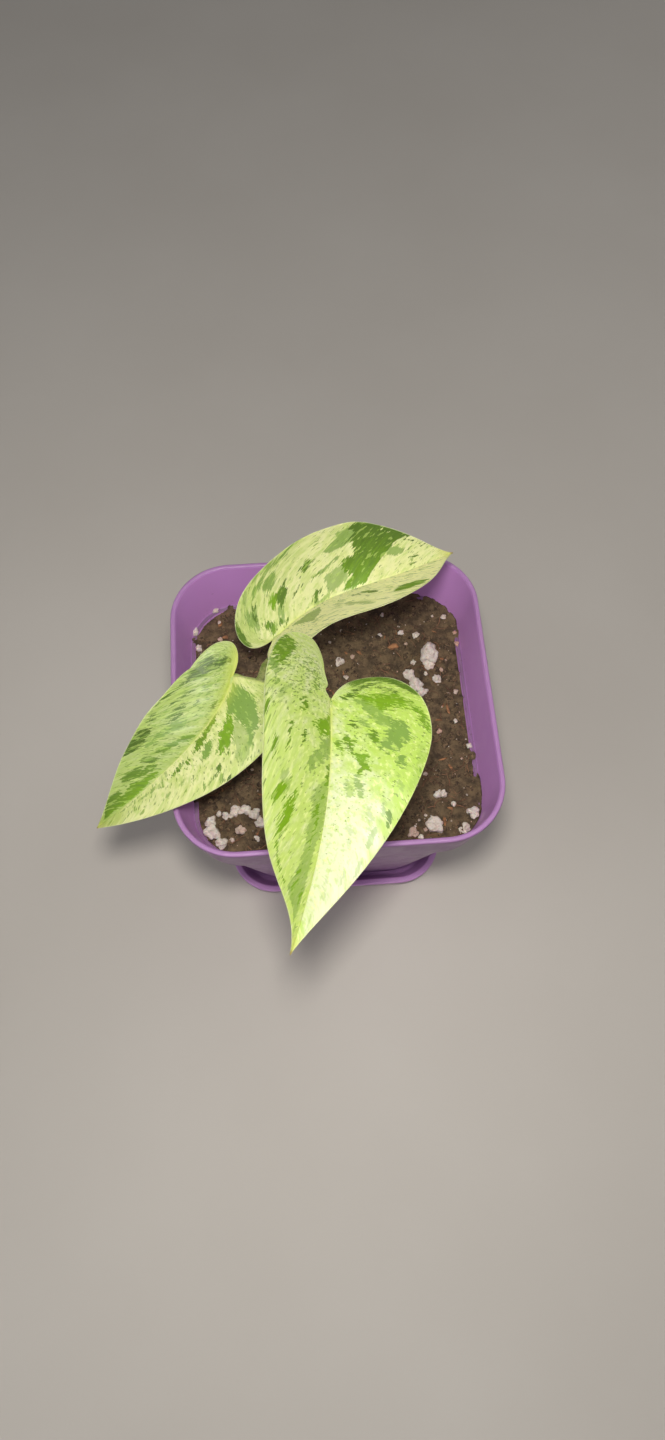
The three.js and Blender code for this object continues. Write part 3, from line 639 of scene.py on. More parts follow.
def inside_field(places, outline):
    """How deep places lie inside an outline, negative outside it."""
    corners = on_map(*zip(*outline))
    nearest = np.full(places.shape[:-1], np.inf)
    within = np.zeros(places.shape[:-1], dtype=bool)
    for a, b in zip(corners, np.roll(corners, -1, axis=0)):
        nearest = np.minimum(nearest, from_segment(places, a, b))
        crosses = (a[1] > places[..., 1]) != (b[1] > places[..., 1])
        slope = (b[0] - a[0]) / (b[1] - a[1] if b[1] != a[1] else 1e-9)
        within ^= crosses & (places[..., 0] < a[0] + slope * (places[..., 1] - a[1]))
    return np.where(within, nearest, -nearest)


def marks(pattern, kind, vein, out):
    """The depth inside the nearest mark of a kind, and that mark's tone."""
    places = on_map(vein, out)
    depth, tone = np.full(vein.shape, FAR), np.zeros(vein.shape)
    for v0, o0, v1, o1, width, shade in pattern.get(kind, ()):
        here = width - from_segment(places, on_map(v0, o0), on_map(v1, o1))
        tone = np.where(here > depth, shade, tone)
        depth = np.maximum(depth, here)
    for outline, near, far in pattern.get(kind + "_fields", ()):
        here = inside_field(places, outline)
        tone = np.where(here > depth, near + (far - near) * out, tone)
        depth = np.maximum(depth, here)
    return depth, tone


def spread(pattern, base, spots, vein, out):
    """A share that changes slowly over the half leaf: of lime, or of specks."""
    near, far = pattern[base]
    share = near + (far - near) * out * np.clip(1.2 - vein, 0, 1)
    for v, o, v_reach, o_reach, amount in pattern[spots]:
        share = share + amount * np.exp(-(((vein - v) / v_reach) ** 2) - ((out - o) / o_reach) ** 2)
    return share


print("map of a leaf:", MAP_LENGTH, "x", MAP_WIDTH, "mm")

# %% [markdown]
# ## The blades' meshes
# A leaf blade is half a millimetre thick, thinner at its rounded margin. Its midrib is a fine
# groove above and a round rib below, and the tissue swells a little between the side veins.
# A solidify modifier would give both sides the same relief, so the two faces and the margin
# are built here, each with its own. The grid's lines run along the veins and lie closer
# together near the midrib, where the groove is.

# %% The grid of half a blade
EDGE_STEPS, VEIN_STEPS = 190, 46
EVEN = 0.4  # at 1 the grid is even, and below it the lines crowd towards the midrib
# Where along the leaf a lobe's inner edge is nicked, over what length, and how strongly.
NICKS, NICK_REACH = ((-4, 2.2, 1.0), (-13, 4.5, 0.5)), 7
THICK, THIN = 0.5, 0.3  # at the middle and at the margin
GROOVE_DEPTH, GROOVE_WIDTH = 0.32, 0.75
RIB_HEIGHT, RIB_WIDTH = 0.85, 0.85
SWELL, VEIN_PITCH = 0.14, 0.062  # between side veins, and their pitch along the map
# How much groove and rib slim towards the tip, and in how many mm they end past the stalk.
SLIMMING, PAST_STALK = 0.65, 1.5
FLAT_BY_RIB, FLAT_BY_MARGIN = 4, 6  # mm over which the swelling fades
# In how many mm the margin thins, and what share of THIN its round stands out.
TAPER, RIM_SHARE = 3, 0.45
VEIN_SLANT = 0.35  # how far towards the tip the side veins run on their way out


def half_grid(leaf, side):
    """For each grid point of a half: along, out, vein, share out, and its line's length."""
    half = leaf["left" if side > 0 else "right"]
    length = leaf["track"].length
    u = np.linspace(0, 1, EDGE_STEPS + 1)
    edge = flat_edge(half, length, u)
    start = length * np.clip((u - LOBE_SHARE) / (1 - LOBE_SHARE), 0, 1)
    s = np.linspace(0, 1, VEIN_STEPS + 1)
    share = s * (EVEN + (1 - EVEN) * s)
    along = start[:, None] * (1 - share) + edge[:, :1] * share
    out = edge[:, 1:] * share
    nick = sum(share_of * np.exp(-(((along - at) / wide) ** 2)) for at, wide, share_of in NICKS)
    out = out + half["notch"] * nick * np.exp(-out / NICK_REACH) * (along < 0)
    vein = (u[:, None] - VEIN_SLANT * share) / (1 - VEIN_SLANT * share)
    reach = np.hypot(edge[:, 0] - start, edge[:, 1])[:, None] * np.ones_like(share)
    return along, out, vein, share * np.ones_like(along), reach


print("grid of half a blade:", EDGE_STEPS, "x", VEIN_STEPS)

# %% [markdown]
# ## Both halves as one sheet
# The halves share the points of the midrib, or the blade would come apart there. All veins of
# the lobe start in one point at the stalk, and all lines end in one at the tip, so some cells
# there are triangles. What is known of a point, such as its depth in a mark, is kept with it.

# %% Join the two halves
# What is kept for each point, in this order.
KEPT = ("vein", "walk", "green", "veil", "tone", "veil_tone", "lime", "to_margin", "along", "out",
        "specks", "film", "lift")


def blade_arrays(name):
    """A blade's middle surface: points, their own 'up', faces, values, the margin's loop."""
    leaf = LEAVES[name]
    rows, columns = EDGE_STEPS + 1, VEIN_STEPS + 1
    first_rib = round(LOBE_SHARE * EDGE_STEPS)
    points, ups, kept, faces, margins = [], [], [], [], []
    rib_points = {}
    for side in (1, -1):
        along, out, vein, share, reach = half_grid(leaf, side)
        place, up = blade_point(leaf, side, along, out)
        pattern = MARBLING[name, side]
        green, tone = marks(pattern, "green", vein, share)
        veil, veil_tone = marks(pattern, "veil", vein, share)
        cream, _ = marks(pattern, "cream", vein, share)
        green = np.minimum(green, -cream)
        lime = spread(pattern, "base", "lime", vein, share)
        specks = spread(pattern, "speck_base", "specks", vein, share)
        # The film is a veil over the whole half; the lift is painted light that pales a shaded
        # half.
        film, lift = pattern.get("film", 0), pattern.get("lift", 0)
        walk = share * reach
        index = np.zeros((rows, columns), dtype=int)
        for i in range(rows):
            for j in range(columns):
                # All lobe veins start at the stalk, and the tip is a single point.
                rib = max(i, first_rib)
                shared = j == 0 or i in (0, rows - 1)
                if shared and rib in rib_points:
                    index[i, j] = rib_points[rib]
                    continue
                index[i, j] = len(points)
                if shared:
                    rib_points[rib] = len(points)
                points.append(place[i, j])
                ups.append(up[i, j])
                kept.append((vein[i, j] * MAP_LENGTH, side * walk[i, j], green[i, j], veil[i, j],
                             tone[i, j], veil_tone[i, j], lime[i, j], reach[i, j] - walk[i, j],
                             along[i, j], out[i, j], specks[i, j], film, lift))
        for i in range(rows - 1):
            for j in range(columns - 1):
                quad = [index[i, j], index[i + 1, j], index[i + 1, j + 1], index[i, j + 1]]
                quad = [v for n, v in enumerate(quad) if v != quad[n - 1]]
                if len(quad) > 2:
                    faces.append(quad if side > 0 else quad[::-1])
        margins.append(index[:, -1])
    loop = list(margins[0]) + list(margins[1][-2:0:-1])
    return np.array(points), np.array(ups), faces, np.array(kept), loop


print("values kept at each point:", len(KEPT))


# %% [markdown]
# ## The blade's thickness
# The middle surface gets an upper face, a lower face and a rounded strip along the margin
# between them. The groove is taken from the upper face and the rib added below, and both
# grow slimmer towards the tip. What each point knows of the marbling goes on the mesh under
# plain names, where the finish can read it.

# %% Two faces and a rounded margin
def point_normals(points, faces):
    """The mean direction of the faces round each point."""
    total = np.zeros_like(points)
    for face in faces:
        a, b, c = points[face[0]], points[face[1]], points[face[2]]
        normal = np.cross(b - a, c - a)
        for v in face:
            total[v] += normal
    return unit(total)


def make_blade(name, finish):
    """A leaf's blade with both faces, and what its finish needs to know at each point."""
    leaf = LEAVES[name]
    points, ups, faces, kept, loop = blade_arrays(name)
    known = dict(zip(KEPT, kept.T))
    along, out, to_margin = known["along"], known["out"], known["to_margin"]
    normals = point_normals(points, faces)
    normals[np.einsum("ij,ij->i", normals, ups) < 0] *= -1
    length = leaf["track"].length
    behind = np.exp(-((np.minimum(along, 0) / PAST_STALK) ** 2))
    slim = 1 - SLIMMING * np.clip(along / length, 0, 1)
    rib = np.exp(-((out / (RIB_WIDTH * slim)) ** 2)) * behind * slim
    groove = np.exp(-((out / (GROOVE_WIDTH * slim)) ** 2)) * behind * slim
    fade = (np.clip(abs(known["walk"]) / FLAT_BY_RIB, 0, 1)
            * np.clip(to_margin / FLAT_BY_MARGIN, 0, 1))
    swell = SWELL * np.abs(np.sin(math.pi * known["vein"] / MAP_LENGTH / VEIN_PITCH)) * fade
    thick = THIN + (THICK - THIN) * np.clip(to_margin / TAPER, 0, 1)
    top = points + normals * (thick / 2 + swell - GROOVE_DEPTH * groove)[:, None]
    bottom = points - normals * (thick / 2 - swell + RIB_HEIGHT * rib)[:, None]
    ring = points[loop]
    ahead = unit(np.roll(ring, -1, axis=0) - np.roll(ring, 1, axis=0))
    rim = ring + np.cross(ahead, normals[loop]) * THIN * RIM_SHARE
    count, turn = len(points), len(loop)
    everything = np.concatenate([top, bottom, rim])
    all_faces = list(faces) + [[v + count for v in f[::-1]] for f in faces]
    for n in range(turn):
        a, b = loop[n], loop[(n + 1) % turn]
        r, s = 2 * count + n, 2 * count + (n + 1) % turn
        all_faces += [[a, r, s, b], [r, a + count, b + count, s]]
    known = dict(zip(KEPT, np.concatenate([kept, kept, kept[loop]]).T))
    known["under"] = np.concatenate([np.zeros(count), np.ones(count), np.full(turn, 0.5)])
    known["near_tip"] = known["along"] / length
    known["seed"] = {"front": 0, "left": 40, "back": 80}[name] + 0 * known["under"]
    three_values = {
        "vein_map": ("vein", "walk", "seed"),
        "green_marks": ("green", "tone", "veil"),
        "ground": ("lime", "veil_tone", "to_margin"),
        "blade": ("near_tip", "out", "under"),
        "crowding": ("specks", "film", "lift"),
    }
    piece_values = {key: np.stack([known[k] for k in three], -1)
                    for key, three in three_values.items()}
    return add_piece(f"blade_{name}", everything, all_faces, finish, "leaf",
                     f"leaf_{name}", values=piece_values)


print("groove", GROOVE_DEPTH, "mm deep, rib", RIB_HEIGHT, "mm high")

# %% [markdown]
# ## Noise that follows the veins
# Everything in this leaf's colour runs along its veins, so plain noise would look like stone.
# The blade's finish takes its noise from the leaf's own map and draws it out along the veins.
# The same noise frays the marks. It is added to the distance from their edge, so the edge
# runs out in spikes, as it does on the real leaf.

# %% A finish that knows the veins
class LeafFinish(Finish):
    """A finish that reads what the blade's mesh knows of its veins and marks."""

    def __init__(self, name, **sockets):
        super().__init__(name, **sockets)
        self.vein_map = self.attribute("vein_map")[0]
        _, self.green_depth, self.tone, self.veil_depth = self.attribute("green_marks")
        _, self.lime_base, self.veil_tone, self.to_margin = self.attribute("ground")
        _, self.near_tip, self.out, self.under = self.attribute("blade")
        _, self.crowd, self.film, self.lift = self.attribute("crowding")

    def streaks(self, width, length, detail=3, seed=0, rough=0.55):
        """Noise drawn out along the veins, in mm across and along them."""
        return self.noise(1, detail, rough, self.vein_map, (width, length, 1), seed)

    def swing(self, value, reach):
        """Noise turned into a drift of this reach to both sides."""
        return self.sum(self.sum(value, "SUBTRACT", 0.5), "MULTIPLY", reach)

    def frayed(self, depth, width, length, reach, soft, seed):
        """1 inside a mark, 0 outside it, with an edge that runs out in spikes along the veins."""
        coarse = self.swing(self.streaks(width, length, 5, seed), reach)
        fine = self.swing(self.streaks(0.45 * width, length, 3, seed + 5), 0.55 * reach)
        return self.step(self.sum(depth, "ADD", self.sum(coarse, "ADD", fine)), -soft, soft)


print("a leaf finish knows:", ", ".join(KEPT))

# %% [markdown]
# ## The ground
# Below all marks the leaf is cream and turns lime in broad drifts. Small pale and light
# mottles keep it from looking painted. A ramp with several stops could hold these colours,
# but laid one over the other, each of them can be changed alone.

# %% Paint the ground
def paint_ground(f, cream, lime_hue, mottle):
    """Cream that turns lime in drifts, with small mottles."""
    drift = f.swing(f.streaks(3.5, 6, 4, 3), 1.7)
    lime = f.step(f.sum(f.lime_base, "ADD", drift), 0.1, 0.9)
    ground = f.mix(linear(*cream), linear(*lime_hue), lime)
    # Painted light: a half's lift pales its ground, to make up for the shade on a half turned from
    # the lamp.
    ground = f.mix(ground, linear(252, 252, 178), f.lift)
    pale = f.step(f.streaks(1.5, 2.2, 4, 7), 0.5, 0.68, (0, 0.45 * mottle))
    ground = f.mix(ground, linear(170, 194, 100), pale)
    light = f.step(f.streaks(1.7, 2.4, 3, 9), 0.52, 0.66, (0, 0.5 * mottle))
    return f.mix(ground, linear(226, 232, 160), light)


print("cream in the shader's colour:", [round(c, 2) for c in linear(223, 225, 162)])

# %% [markdown]
# ## The veil and the strong green
# The veil goes on first and the strong green over it, as the upper cells lie over the lower
# ones. Each is frayed with its own noise. Fraying eats thin marks, so all of them are widened
# by a small share of it first. A half leaf's film is an even, thinner veil.

# %% Paint the marks
VEIL_WIDENED, GREEN_WIDENED = 0.04, 0.055


def paint_marks(f, ground, fray):
    """The veil over the ground, and the strong green over both."""
    veil_depth = f.sum(f.veil_depth, "ADD", VEIL_WIDENED * fray)
    veil = f.sum(f.frayed(veil_depth, 1.5, 3.8, 0.9 * fray, 0.4, 11), "MULTIPLY", f.veil_tone)
    haze = f.sum(f.film, "MULTIPLY", f.step(f.streaks(2.5, 5, 4, 13), 0.2, 0.5))
    colour = f.mix(ground, linear(124, 156, 68), f.sum(veil, "MAXIMUM", haze))
    deep = f.step(f.sum(f.tone, "ADD", f.swing(f.streaks(1.4, 6, 4, 17), 1.1)), 0, 1)
    green = f.mix(linear(122, 163, 24), linear(86, 114, 36), deep)
    green = f.mix(green, linear(72, 98, 12), f.step(f.tone, 1, 1.4))
    green_depth = f.sum(f.green_depth, "ADD", GREEN_WIDENED * fray)
    return f.mix(colour, green, f.frayed(green_depth, 1.3, 3.6, fray, 0.2, 23))


print("marks are widened by", VEIL_WIDENED, "and", GREEN_WIDENED, "of their fraying")

# %% [markdown]
# ## Specks
# Between the patches lie many specks: soft lime mottles, green dabs and fine dark threads,
# all drawn out along the veins. They are the peaks of three noises. Where the leaf is marked
# as crowded the noise is raised, and more of it peaks.

# %% Paint the specks
# Each kind: width and length in mm, detail, seed, limit, gain by crowding, colour, strength.
SPECKS = (
    (2.6, 3.8, 3, 71, 0.59, 0.04, (182, 204, 108), 0.5),
    (1.8, 3.4, 2, 41, 0.67, 0.08, (128, 160, 62), 0.8),
    (0.95, 2.1, 1, 37, 0.7, 0.1, (104, 132, 50), 0.75),
)


def paint_specks(f, colour):
    """Specks of every kind over a colour, where they crowd."""
    busy = f.sum(f.crowd, "ADD", f.swing(f.streaks(7, 16, 2, 31), 1.2))
    for width, length, detail, seed, limit, gain, shade, strength in SPECKS:
        high = f.sum(f.streaks(width, length, detail, seed), "ADD", f.sum(busy, "MULTIPLY", gain))
        spot = f.step(high, limit, limit + 0.035, (0, strength))
        colour = f.mix(colour, linear(*shade), spot)
    return colour


print("kinds of specks:", len(SPECKS))

# %% [markdown]
# ## Midrib, margin and tip
# The midrib is pale and glows yellow near the stalk. The margin is a thin pale line, the very
# tip has dried brown, and the underside is duller. The mesh knows how far each point is from
# the midrib, the margin and the tip, so that these lines stay sharp at any scale.

# %% Paint the midrib, margin and tip
BROWN_FROM, BROWN_BY = 0.975, 0.992  # shares of the midrib, from the stalk to the tip


def paint_rib_and_edges(f, colour, warm):
    """What lies over the marbling: midrib, margin, tip and underside."""
    rib = f.step(f.out, 1.0, 0.25)
    early = f.step(f.near_tip, 0.6, 0.0, (0.1, 0.5))
    colour = f.mix(colour, linear(214, 220, 124), f.sum(rib, "MULTIPLY", early))
    yellow = f.step(f.near_tip, 0.4, -0.05, (0, 0.25 + 0.5 * warm))
    glow = f.sum(f.step(f.out, 3.5 + 5 * warm, 0), "MULTIPLY", yellow)
    colour = f.mix(colour, linear(198, 208, 84), glow)
    colour = f.mix(colour, linear(222, 228, 172), f.step(f.to_margin, 0.5, 0.15, (0, 0.45)))
    colour = f.mix(colour, linear(196, 200, 100), f.step(f.near_tip, 0.9, 0.97, (0, 0.6)))
    brown = f.step(f.near_tip, BROWN_FROM, BROWN_BY, (0, 0.8))
    colour = f.mix(colour, linear(158, 116, 62), brown)
    return f.mix(colour, linear(170, 188, 126), f.sum(f.under, "MULTIPLY", 0.35))


print("the tip turns brown from", BROWN_FROM, "of the midrib on")

# %% [markdown]
# ## The three blades
# The blade is satin and a little waxy, and light passes through its thin tissue, so it has a
# thin coat and some scattering below the surface. The layers above go on in their order, and
# a fine relief along the veins breaks the shine. Each leaf is of its own age, so its creams
# and limes are its own too.

# %% Finish and make the blades
def leaf_finish(name, cream, lime_hue, warm, fray, mottle):
    """The marbled finish of one leaf, layer over layer."""
    f = LeafFinish(name, Roughness=0.46, Subsurface_Weight=0.35, Subsurface_Scale=0.0012,
                   Subsurface_Radius=(0.9, 1.0, 0.35), Specular_IOR_Level=0.32,
                   Coat_Weight=0.05, Coat_Roughness=0.3)
    ground = paint_ground(f, cream, lime_hue, mottle)
    marbled = paint_specks(f, paint_marks(f, ground, fray))
    f.set("Base Color", paint_rib_and_edges(f, marbled, warm))
    f.set("Roughness", f.step(f.streaks(2, 5, 3, 53), 0.3, 0.7, (0.36, 0.48)))
    broad = f.sum(f.streaks(1.5, 6, 2, 61), "MULTIPLY", 1.4)
    f.relief(f.sum(f.streaks(0.25, 1.2, 3, 59), "ADD", broad), 0.05, 0.6)
    return f


# Each leaf: its cream and lime, how warm its stalk end is, how ragged its marks are, and how
# mottled its ground is.
for name, *look in (
        ("front", (208, 213, 172), (178, 206, 92), 0.0, 10, 1.2),
        ("left", (222, 224, 162), (183, 199, 107), 0.5, 9, 0.8),
        ("back", (223, 225, 162), (185, 202, 112), 0.0, 7, 0.6)):
    make_blade(name, leaf_finish(f"marbled_leaf_{name}", *look))

# %% [markdown]
# ## The leaf stalks
# Each blade hangs on a stalk that is channelled on its upper side. Two thin wings, the
# sheath, run along the channel's edges and clasp the vine at its foot, and just under the
# blade the stalk has a slightly thicker knee with which the leaf turns to the light. A bevelled
# curve would be quick, but it is round all the way, so the section is swept by hand.

# %% A smooth line through a few points
def smooth_line(points, steps=24):
    """A curve through all the points, eased by the root of their spacing."""
    p = [np.asarray(q, dtype=float) for q in points]
    p = [2 * p[0] - p[1], *p, 2 * p[-1] - p[-2]]
    made = []
    for a, b, c, d in zip(p, p[1:], p[2:], p[3:]):
        gaps = [math.sqrt(np.linalg.norm(w - v)) for v, w in ((a, b), (b, c), (c, d))]
        before = (b - a) / gaps[0] - (c - a) / (gaps[0] + gaps[1]) + (c - b) / gaps[1]
        after = (c - b) / gaps[1] - (d - b) / (gaps[1] + gaps[2]) + (d - c) / gaps[2]
        before, after = before * gaps[1], after * gaps[1]
        for t in np.linspace(0, 1, steps, endpoint=False):
            made.append((2 * t**3 - 3 * t**2 + 1) * b + (t**3 - 2 * t**2 + t) * before
                        + (-2 * t**3 + 3 * t**2) * c + (t**3 - t**2) * after)
    return Track([*made, p[-2]])


def sweep(track, steps, sides, section, top=(0, 0, 1)):
    """Rings along a track, whose radii a section gives. Angle 0 is the side near 'top'."""
    angles = np.linspace(-math.pi, math.pi, sides, endpoint=False)
    points, faces = [], []
    facing = np.asarray(top, dtype=float)
    for s in range(steps + 1):
        share = s / steps
        centre, way = track.at(share * track.length), track.way(share * track.length)
        facing = unit(facing - way * (facing @ way))
        across = np.cross(way, facing)
        radii = section(share, angles)
        points += list(centre + radii[:, None] * (np.cos(angles)[:, None] * facing
                                                  + np.sin(angles)[:, None] * across))
    for s in range(steps):
        for i in range(sides):
            a, b = s * sides + i, s * sides + (i + 1) % sides
            faces.append([a, b, b + sides, a + sides])
    for end, order in ((0, -1), (steps, 1)):
        ring = [end * sides + i for i in range(sides)]
        points.append(np.mean([points[i] for i in ring], axis=0))
        middle = len(points) - 1
        faces += [[middle, ring[i], ring[(i + 1) % sides]][::order] for i in range(sides)]
    return points, faces


vine_points = [(-24, 36, 74), (-24, 35, 100), (-23.5, 33, 116), (-25, 31, 128), (-24, 30, 139)]
vine_track = smooth_line(vine_points)
print("vine:", round(vine_track.length, 1), "mm long")

# %% [markdown]
# ## The three stalks
# A stalk's section changes on its way: thick and winged at the foot, slim and plain above, a
# little swollen at the knee. So the sweep asks for the radius all round at each place. Its
# line starts inside the vine and ends in the midrib, so that no gap can open at either end.

# %% Make the stalks
VINE_RADIUS, RING_SWELL, RING_HEIGHTS, BUD_LENGTH = 3.0, 0.5, (113.5, 121, 129), 9.0
STALK_FOOT, STALK_END = 2.3, 1.5
STALK_CLEAR, STALK_RISE, INTO_VINE, INTO_RIB = 2.2, 3.5, 0.6, 3.0
# Shares of the stalk's length, angles in radians from its upper side, and depths in mm.
KNEE_AT, KNEE_LENGTH, KNEE_SWELL = 0.9, 0.06, 0.35
CHANNEL_SHARE, CHANNEL_WIDTH = 0.3, 0.55
WING_HEIGHT, WING_LENGTH, WING_AT, WING_WIDTH = 1.3, 0.72, 0.8, 0.17


def vine_reach(height):
    """How far along the vine a height is."""
    return float(np.interp(height, vine_track.points[:, 2], vine_track.reached))


def stalk_section(share, angles):
    """A stalk's radii all round, at a share of its length."""
    radius = STALK_FOOT + (STALK_END - STALK_FOOT) * min(1, 1.3 * share)
    knee = KNEE_SWELL * math.exp(-(((share - KNEE_AT) / KNEE_LENGTH) ** 2))
    channel = CHANNEL_SHARE * np.exp(-((angles / CHANNEL_WIDTH) ** 2)) * (1 - 0.6 * share)
    wing = WING_HEIGHT * max(0, 1 - share / WING_LENGTH) ** 0.8
    wings = wing * np.exp(-(((np.abs(angles) - WING_AT) / WING_WIDTH) ** 2))
    return (radius + knee) * (1 - channel) + wings


def make_stalk(name, finish):
    """The stalk from its ring on the vine to the leaf's midrib."""
    leaf = LEAVES[name]
    foot = vine_track.at(vine_reach(RING_HEIGHTS[leaf["joint"]]))
    turn, rise = math.radians(leaf["heading"]), math.radians(leaf["rise"])
    level = np.array([math.cos(turn), math.sin(turn), 0])
    way = level * math.cos(rise) + np.array([0, 0, math.sin(rise)])
    start = foot + level * (VINE_RADIUS - INTO_VINE)
    clear = foot + level * (VINE_RADIUS + STALK_CLEAR) + way * STALK_RISE
    blade, up = blade_point(leaf, 1, np.array([0.0]), np.array([0.0]))
    rib_way = leaf["track"].way(np.array([2.0]))[0]
    end = blade[0] - up[0] * (0.4 + STALK_END * 0.6)
    into_rib = end + rib_way * INTO_RIB - up[0] * 0.1
    track = smooth_line([start, clear, *leaf["bend"], end, into_rib])
    points, faces = sweep(track, 90, 40, stalk_section)
    print(name, "stalk:", round(track.length, 1), "mm")
    return add_piece(f"stalk_{name}", points, faces, finish, "petiole", f"petiole_{name}")


stalk_finish = Finish("streaked_stalk", Roughness=0.42, Subsurface_Weight=0.2,
                      Subsurface_Scale=0.002, Subsurface_Radius=(0.9, 1.0, 0.4), Coat_Weight=0.1)
long_streaks = stalk_finish.noise(1.0, 4, 0.6, stretch=(1, 1, 6))
blotches = stalk_finish.noise(5.0, 3, 0.5, stretch=(1, 1, 2), seed=4)
blotched = stalk_finish.step(blotches, 0.4, 0.65)
pale_green = stalk_finish.mix(linear(206, 214, 136), linear(170, 194, 96), blotched)
streaked = stalk_finish.step(long_streaks, 0.56, 0.64)
stalk_finish.set("Base Color", stalk_finish.mix(pale_green, linear(122, 160, 62), streaked))
stalk_finish.relief(long_streaks, 0.12)
for name in LEAVES:
    make_stalk(name, stalk_finish)

# %% [markdown]
# ## The vine
# The leaves spring from rings on a short vine, each ring with a thin brown scar line. At its
# end stands the pointed sheath that wraps the next leaf. A stack of cylinders would show
# steps, so one sweep swells at the rings and tapers to the point.

# %% Make the vine
RING_LENGTH, SCAR_DEPTH, SCAR_LENGTH = 1.5, 0.18, 0.35
SEAM_DEPTH, SEAM_WIDTH, FLUTE_DEPTH, BUD_POINT = 0.25, 0.25, 0.07, 0.12


def vine_section(share, angles):
    """The vine's radii all round, at a share of its length."""
    here = share * vine_track.length
    rings = np.array([vine_reach(h) for h in RING_HEIGHTS])
    near = np.abs(rings - here).min()
    swell = RING_SWELL * math.exp(-((near / RING_LENGTH) ** 2))
    swell -= SCAR_DEPTH * math.exp(-((near / SCAR_LENGTH) ** 2))
    to_end = vine_track.length - here
    taper = min(1, BUD_POINT + (1 - BUD_POINT) * (to_end / BUD_LENGTH) ** 0.6)
    seam = SEAM_DEPTH * np.exp(-((angles / SEAM_WIDTH) ** 2)) * (to_end < BUD_LENGTH)
    flutes = FLUTE_DEPTH * np.sin(5 * angles + here / 6)
    return (VINE_RADIUS + swell + flutes - seam) * taper


vine_finish = Finish("green_vine", Roughness=0.5, Subsurface_Weight=0.1,
                     Subsurface_Scale=0.002, Subsurface_Radius=(0.8, 1.0, 0.4))
streak = vine_finish.noise(0.9, 4, 0.6, stretch=(1, 1, 8))
streaked = vine_finish.step(streak, 0.45, 0.62)
skin = vine_finish.mix(linear(172, 194, 98), linear(206, 214, 134), streaked)
cork = vine_finish.step(vine_finish.noise(1.4, 4, 0.6, stretch=(1, 1, 0.6)), 0.62, 0.68, (0, 0.7))
vine_finish.set("Base Color", vine_finish.mix(skin, linear(128, 96, 58), cork))
vine_finish.relief(streak, 0.15)
add_piece("vine", *sweep(vine_track, 150, 48, vine_section, (1, 0, 0)), vine_finish, "stem", "stem")

# %% [markdown]
# ## The pot
# The pot is pressed from one sheet of lilac plastic: a square with round corners, a sloping
# collar at the mouth, a narrow ledge inside where the soil begins, and a base that is raised
# in its middle and has four drain holes. A box with bevels can't hold such changing corners,
# so the walls are lofted through many rounded squares, and every edge gets its own small
# radius, because that is where moulded plastic catches the light.

# %% Rounded squares, and a loft through them
def square_ring(side, corner, height, per_corner=20, per_side=10):
    """Points of a square with round corners, counter-clockwise from above."""
    flat = side / 2 - corner
    ring = []
    for k, (sx, sy) in enumerate(((1, 1), (-1, 1), (-1, -1), (1, -1))):
        for i in range(per_corner + 1):
            angle = (k + i / per_corner) * math.pi / 2
            x, y = sx * flat + corner * math.cos(angle), sy * flat + corner * math.sin(angle)
            ring.append((x, y, height))
        dx, dy = ((-1, 0), (0, -1), (1, 0), (0, 1))[k]
        ring += [(x + dx * 2 * flat * i / per_side, y + dy * 2 * flat * i / per_side, height)
                 for i in range(1, per_side)]
    return ring


def rounded(profile, radii, steps=5):
    """A profile of (side, corner, height) whose corners are rounded off by these radii."""
    made = [profile[0]]
    for before, here, after, radius in zip(profile, profile[1:], profile[2:], radii[1:]):
        before, here, after = (np.array(p, dtype=float) for p in (before, here, after))
        cuts = []
        for far in (before, after):
            gap = np.hypot((far[0] - here[0]) / 2, far[2] - here[2])
            share = min(0.45, radius / max(gap, 1e-6))
            cuts.append(here + (far - here) * share)
        first, last = cuts
        for i in range(steps + 1):
            t = i / steps
            made.append(tuple((1 - t) ** 2 * first + 2 * t * (1 - t) * here + t * t * last))
    return [*made, profile[-1]]


def loft(profile):
    """A closed body through the profile's squares, with a flat face at both ends."""
    rings = [square_ring(*p) for p in profile]
    count = len(rings[0])
    points = [p for ring in rings for p in ring]
    faces = []
    for r in range(len(rings) - 1):
        for i in range(count):
            a, b = r * count + i, r * count + (i + 1) % count
            faces.append([a, b, b + count, a + count])
    faces.append(list(range(count))[::-1])
    faces.append([(len(rings) - 1) * count + i for i in range(count)])
    return points, faces


POT_TOP, RIM_SIDE, RIM_CORNER, WALL = 139.0, 150.0, 29.0, 2.4
LEDGE_HEIGHT, COLLAR_TAPER, LEDGE = 110.0, 4.2, 2.0
BASE_SIDE, BASE_CORNER, POT_FLOOR, RECESS = 98.0, 20.0, 2.4, 1.5
SAUCER_FLOOR, CLEARANCE = 2.0, 0.3
pot_bottom = SAUCER_FLOOR + CLEARANCE
inner_floor = pot_bottom + RECESS + POT_FLOOR
mouth = RIM_SIDE - 2 * WALL
collar = mouth - 2 * COLLAR_TAPER
body = collar - 2 * LEDGE
base_inside = BASE_SIDE - 2 * WALL
collar_corner, body_corner = RIM_CORNER - 5, RIM_CORNER - 7
print("mouth", mouth, "mm, at the ledge", collar, "mm, body", body, "mm")

# %% [markdown]
# ## The pot's shell
# The profile runs from the raised middle of the base, over the foot, up the outer wall, over
# the rim and down the inside to the pot's floor. One closed loft of it has no seams. The four
# drain holes are drilled last with a cutter, as a loft can't hold them.

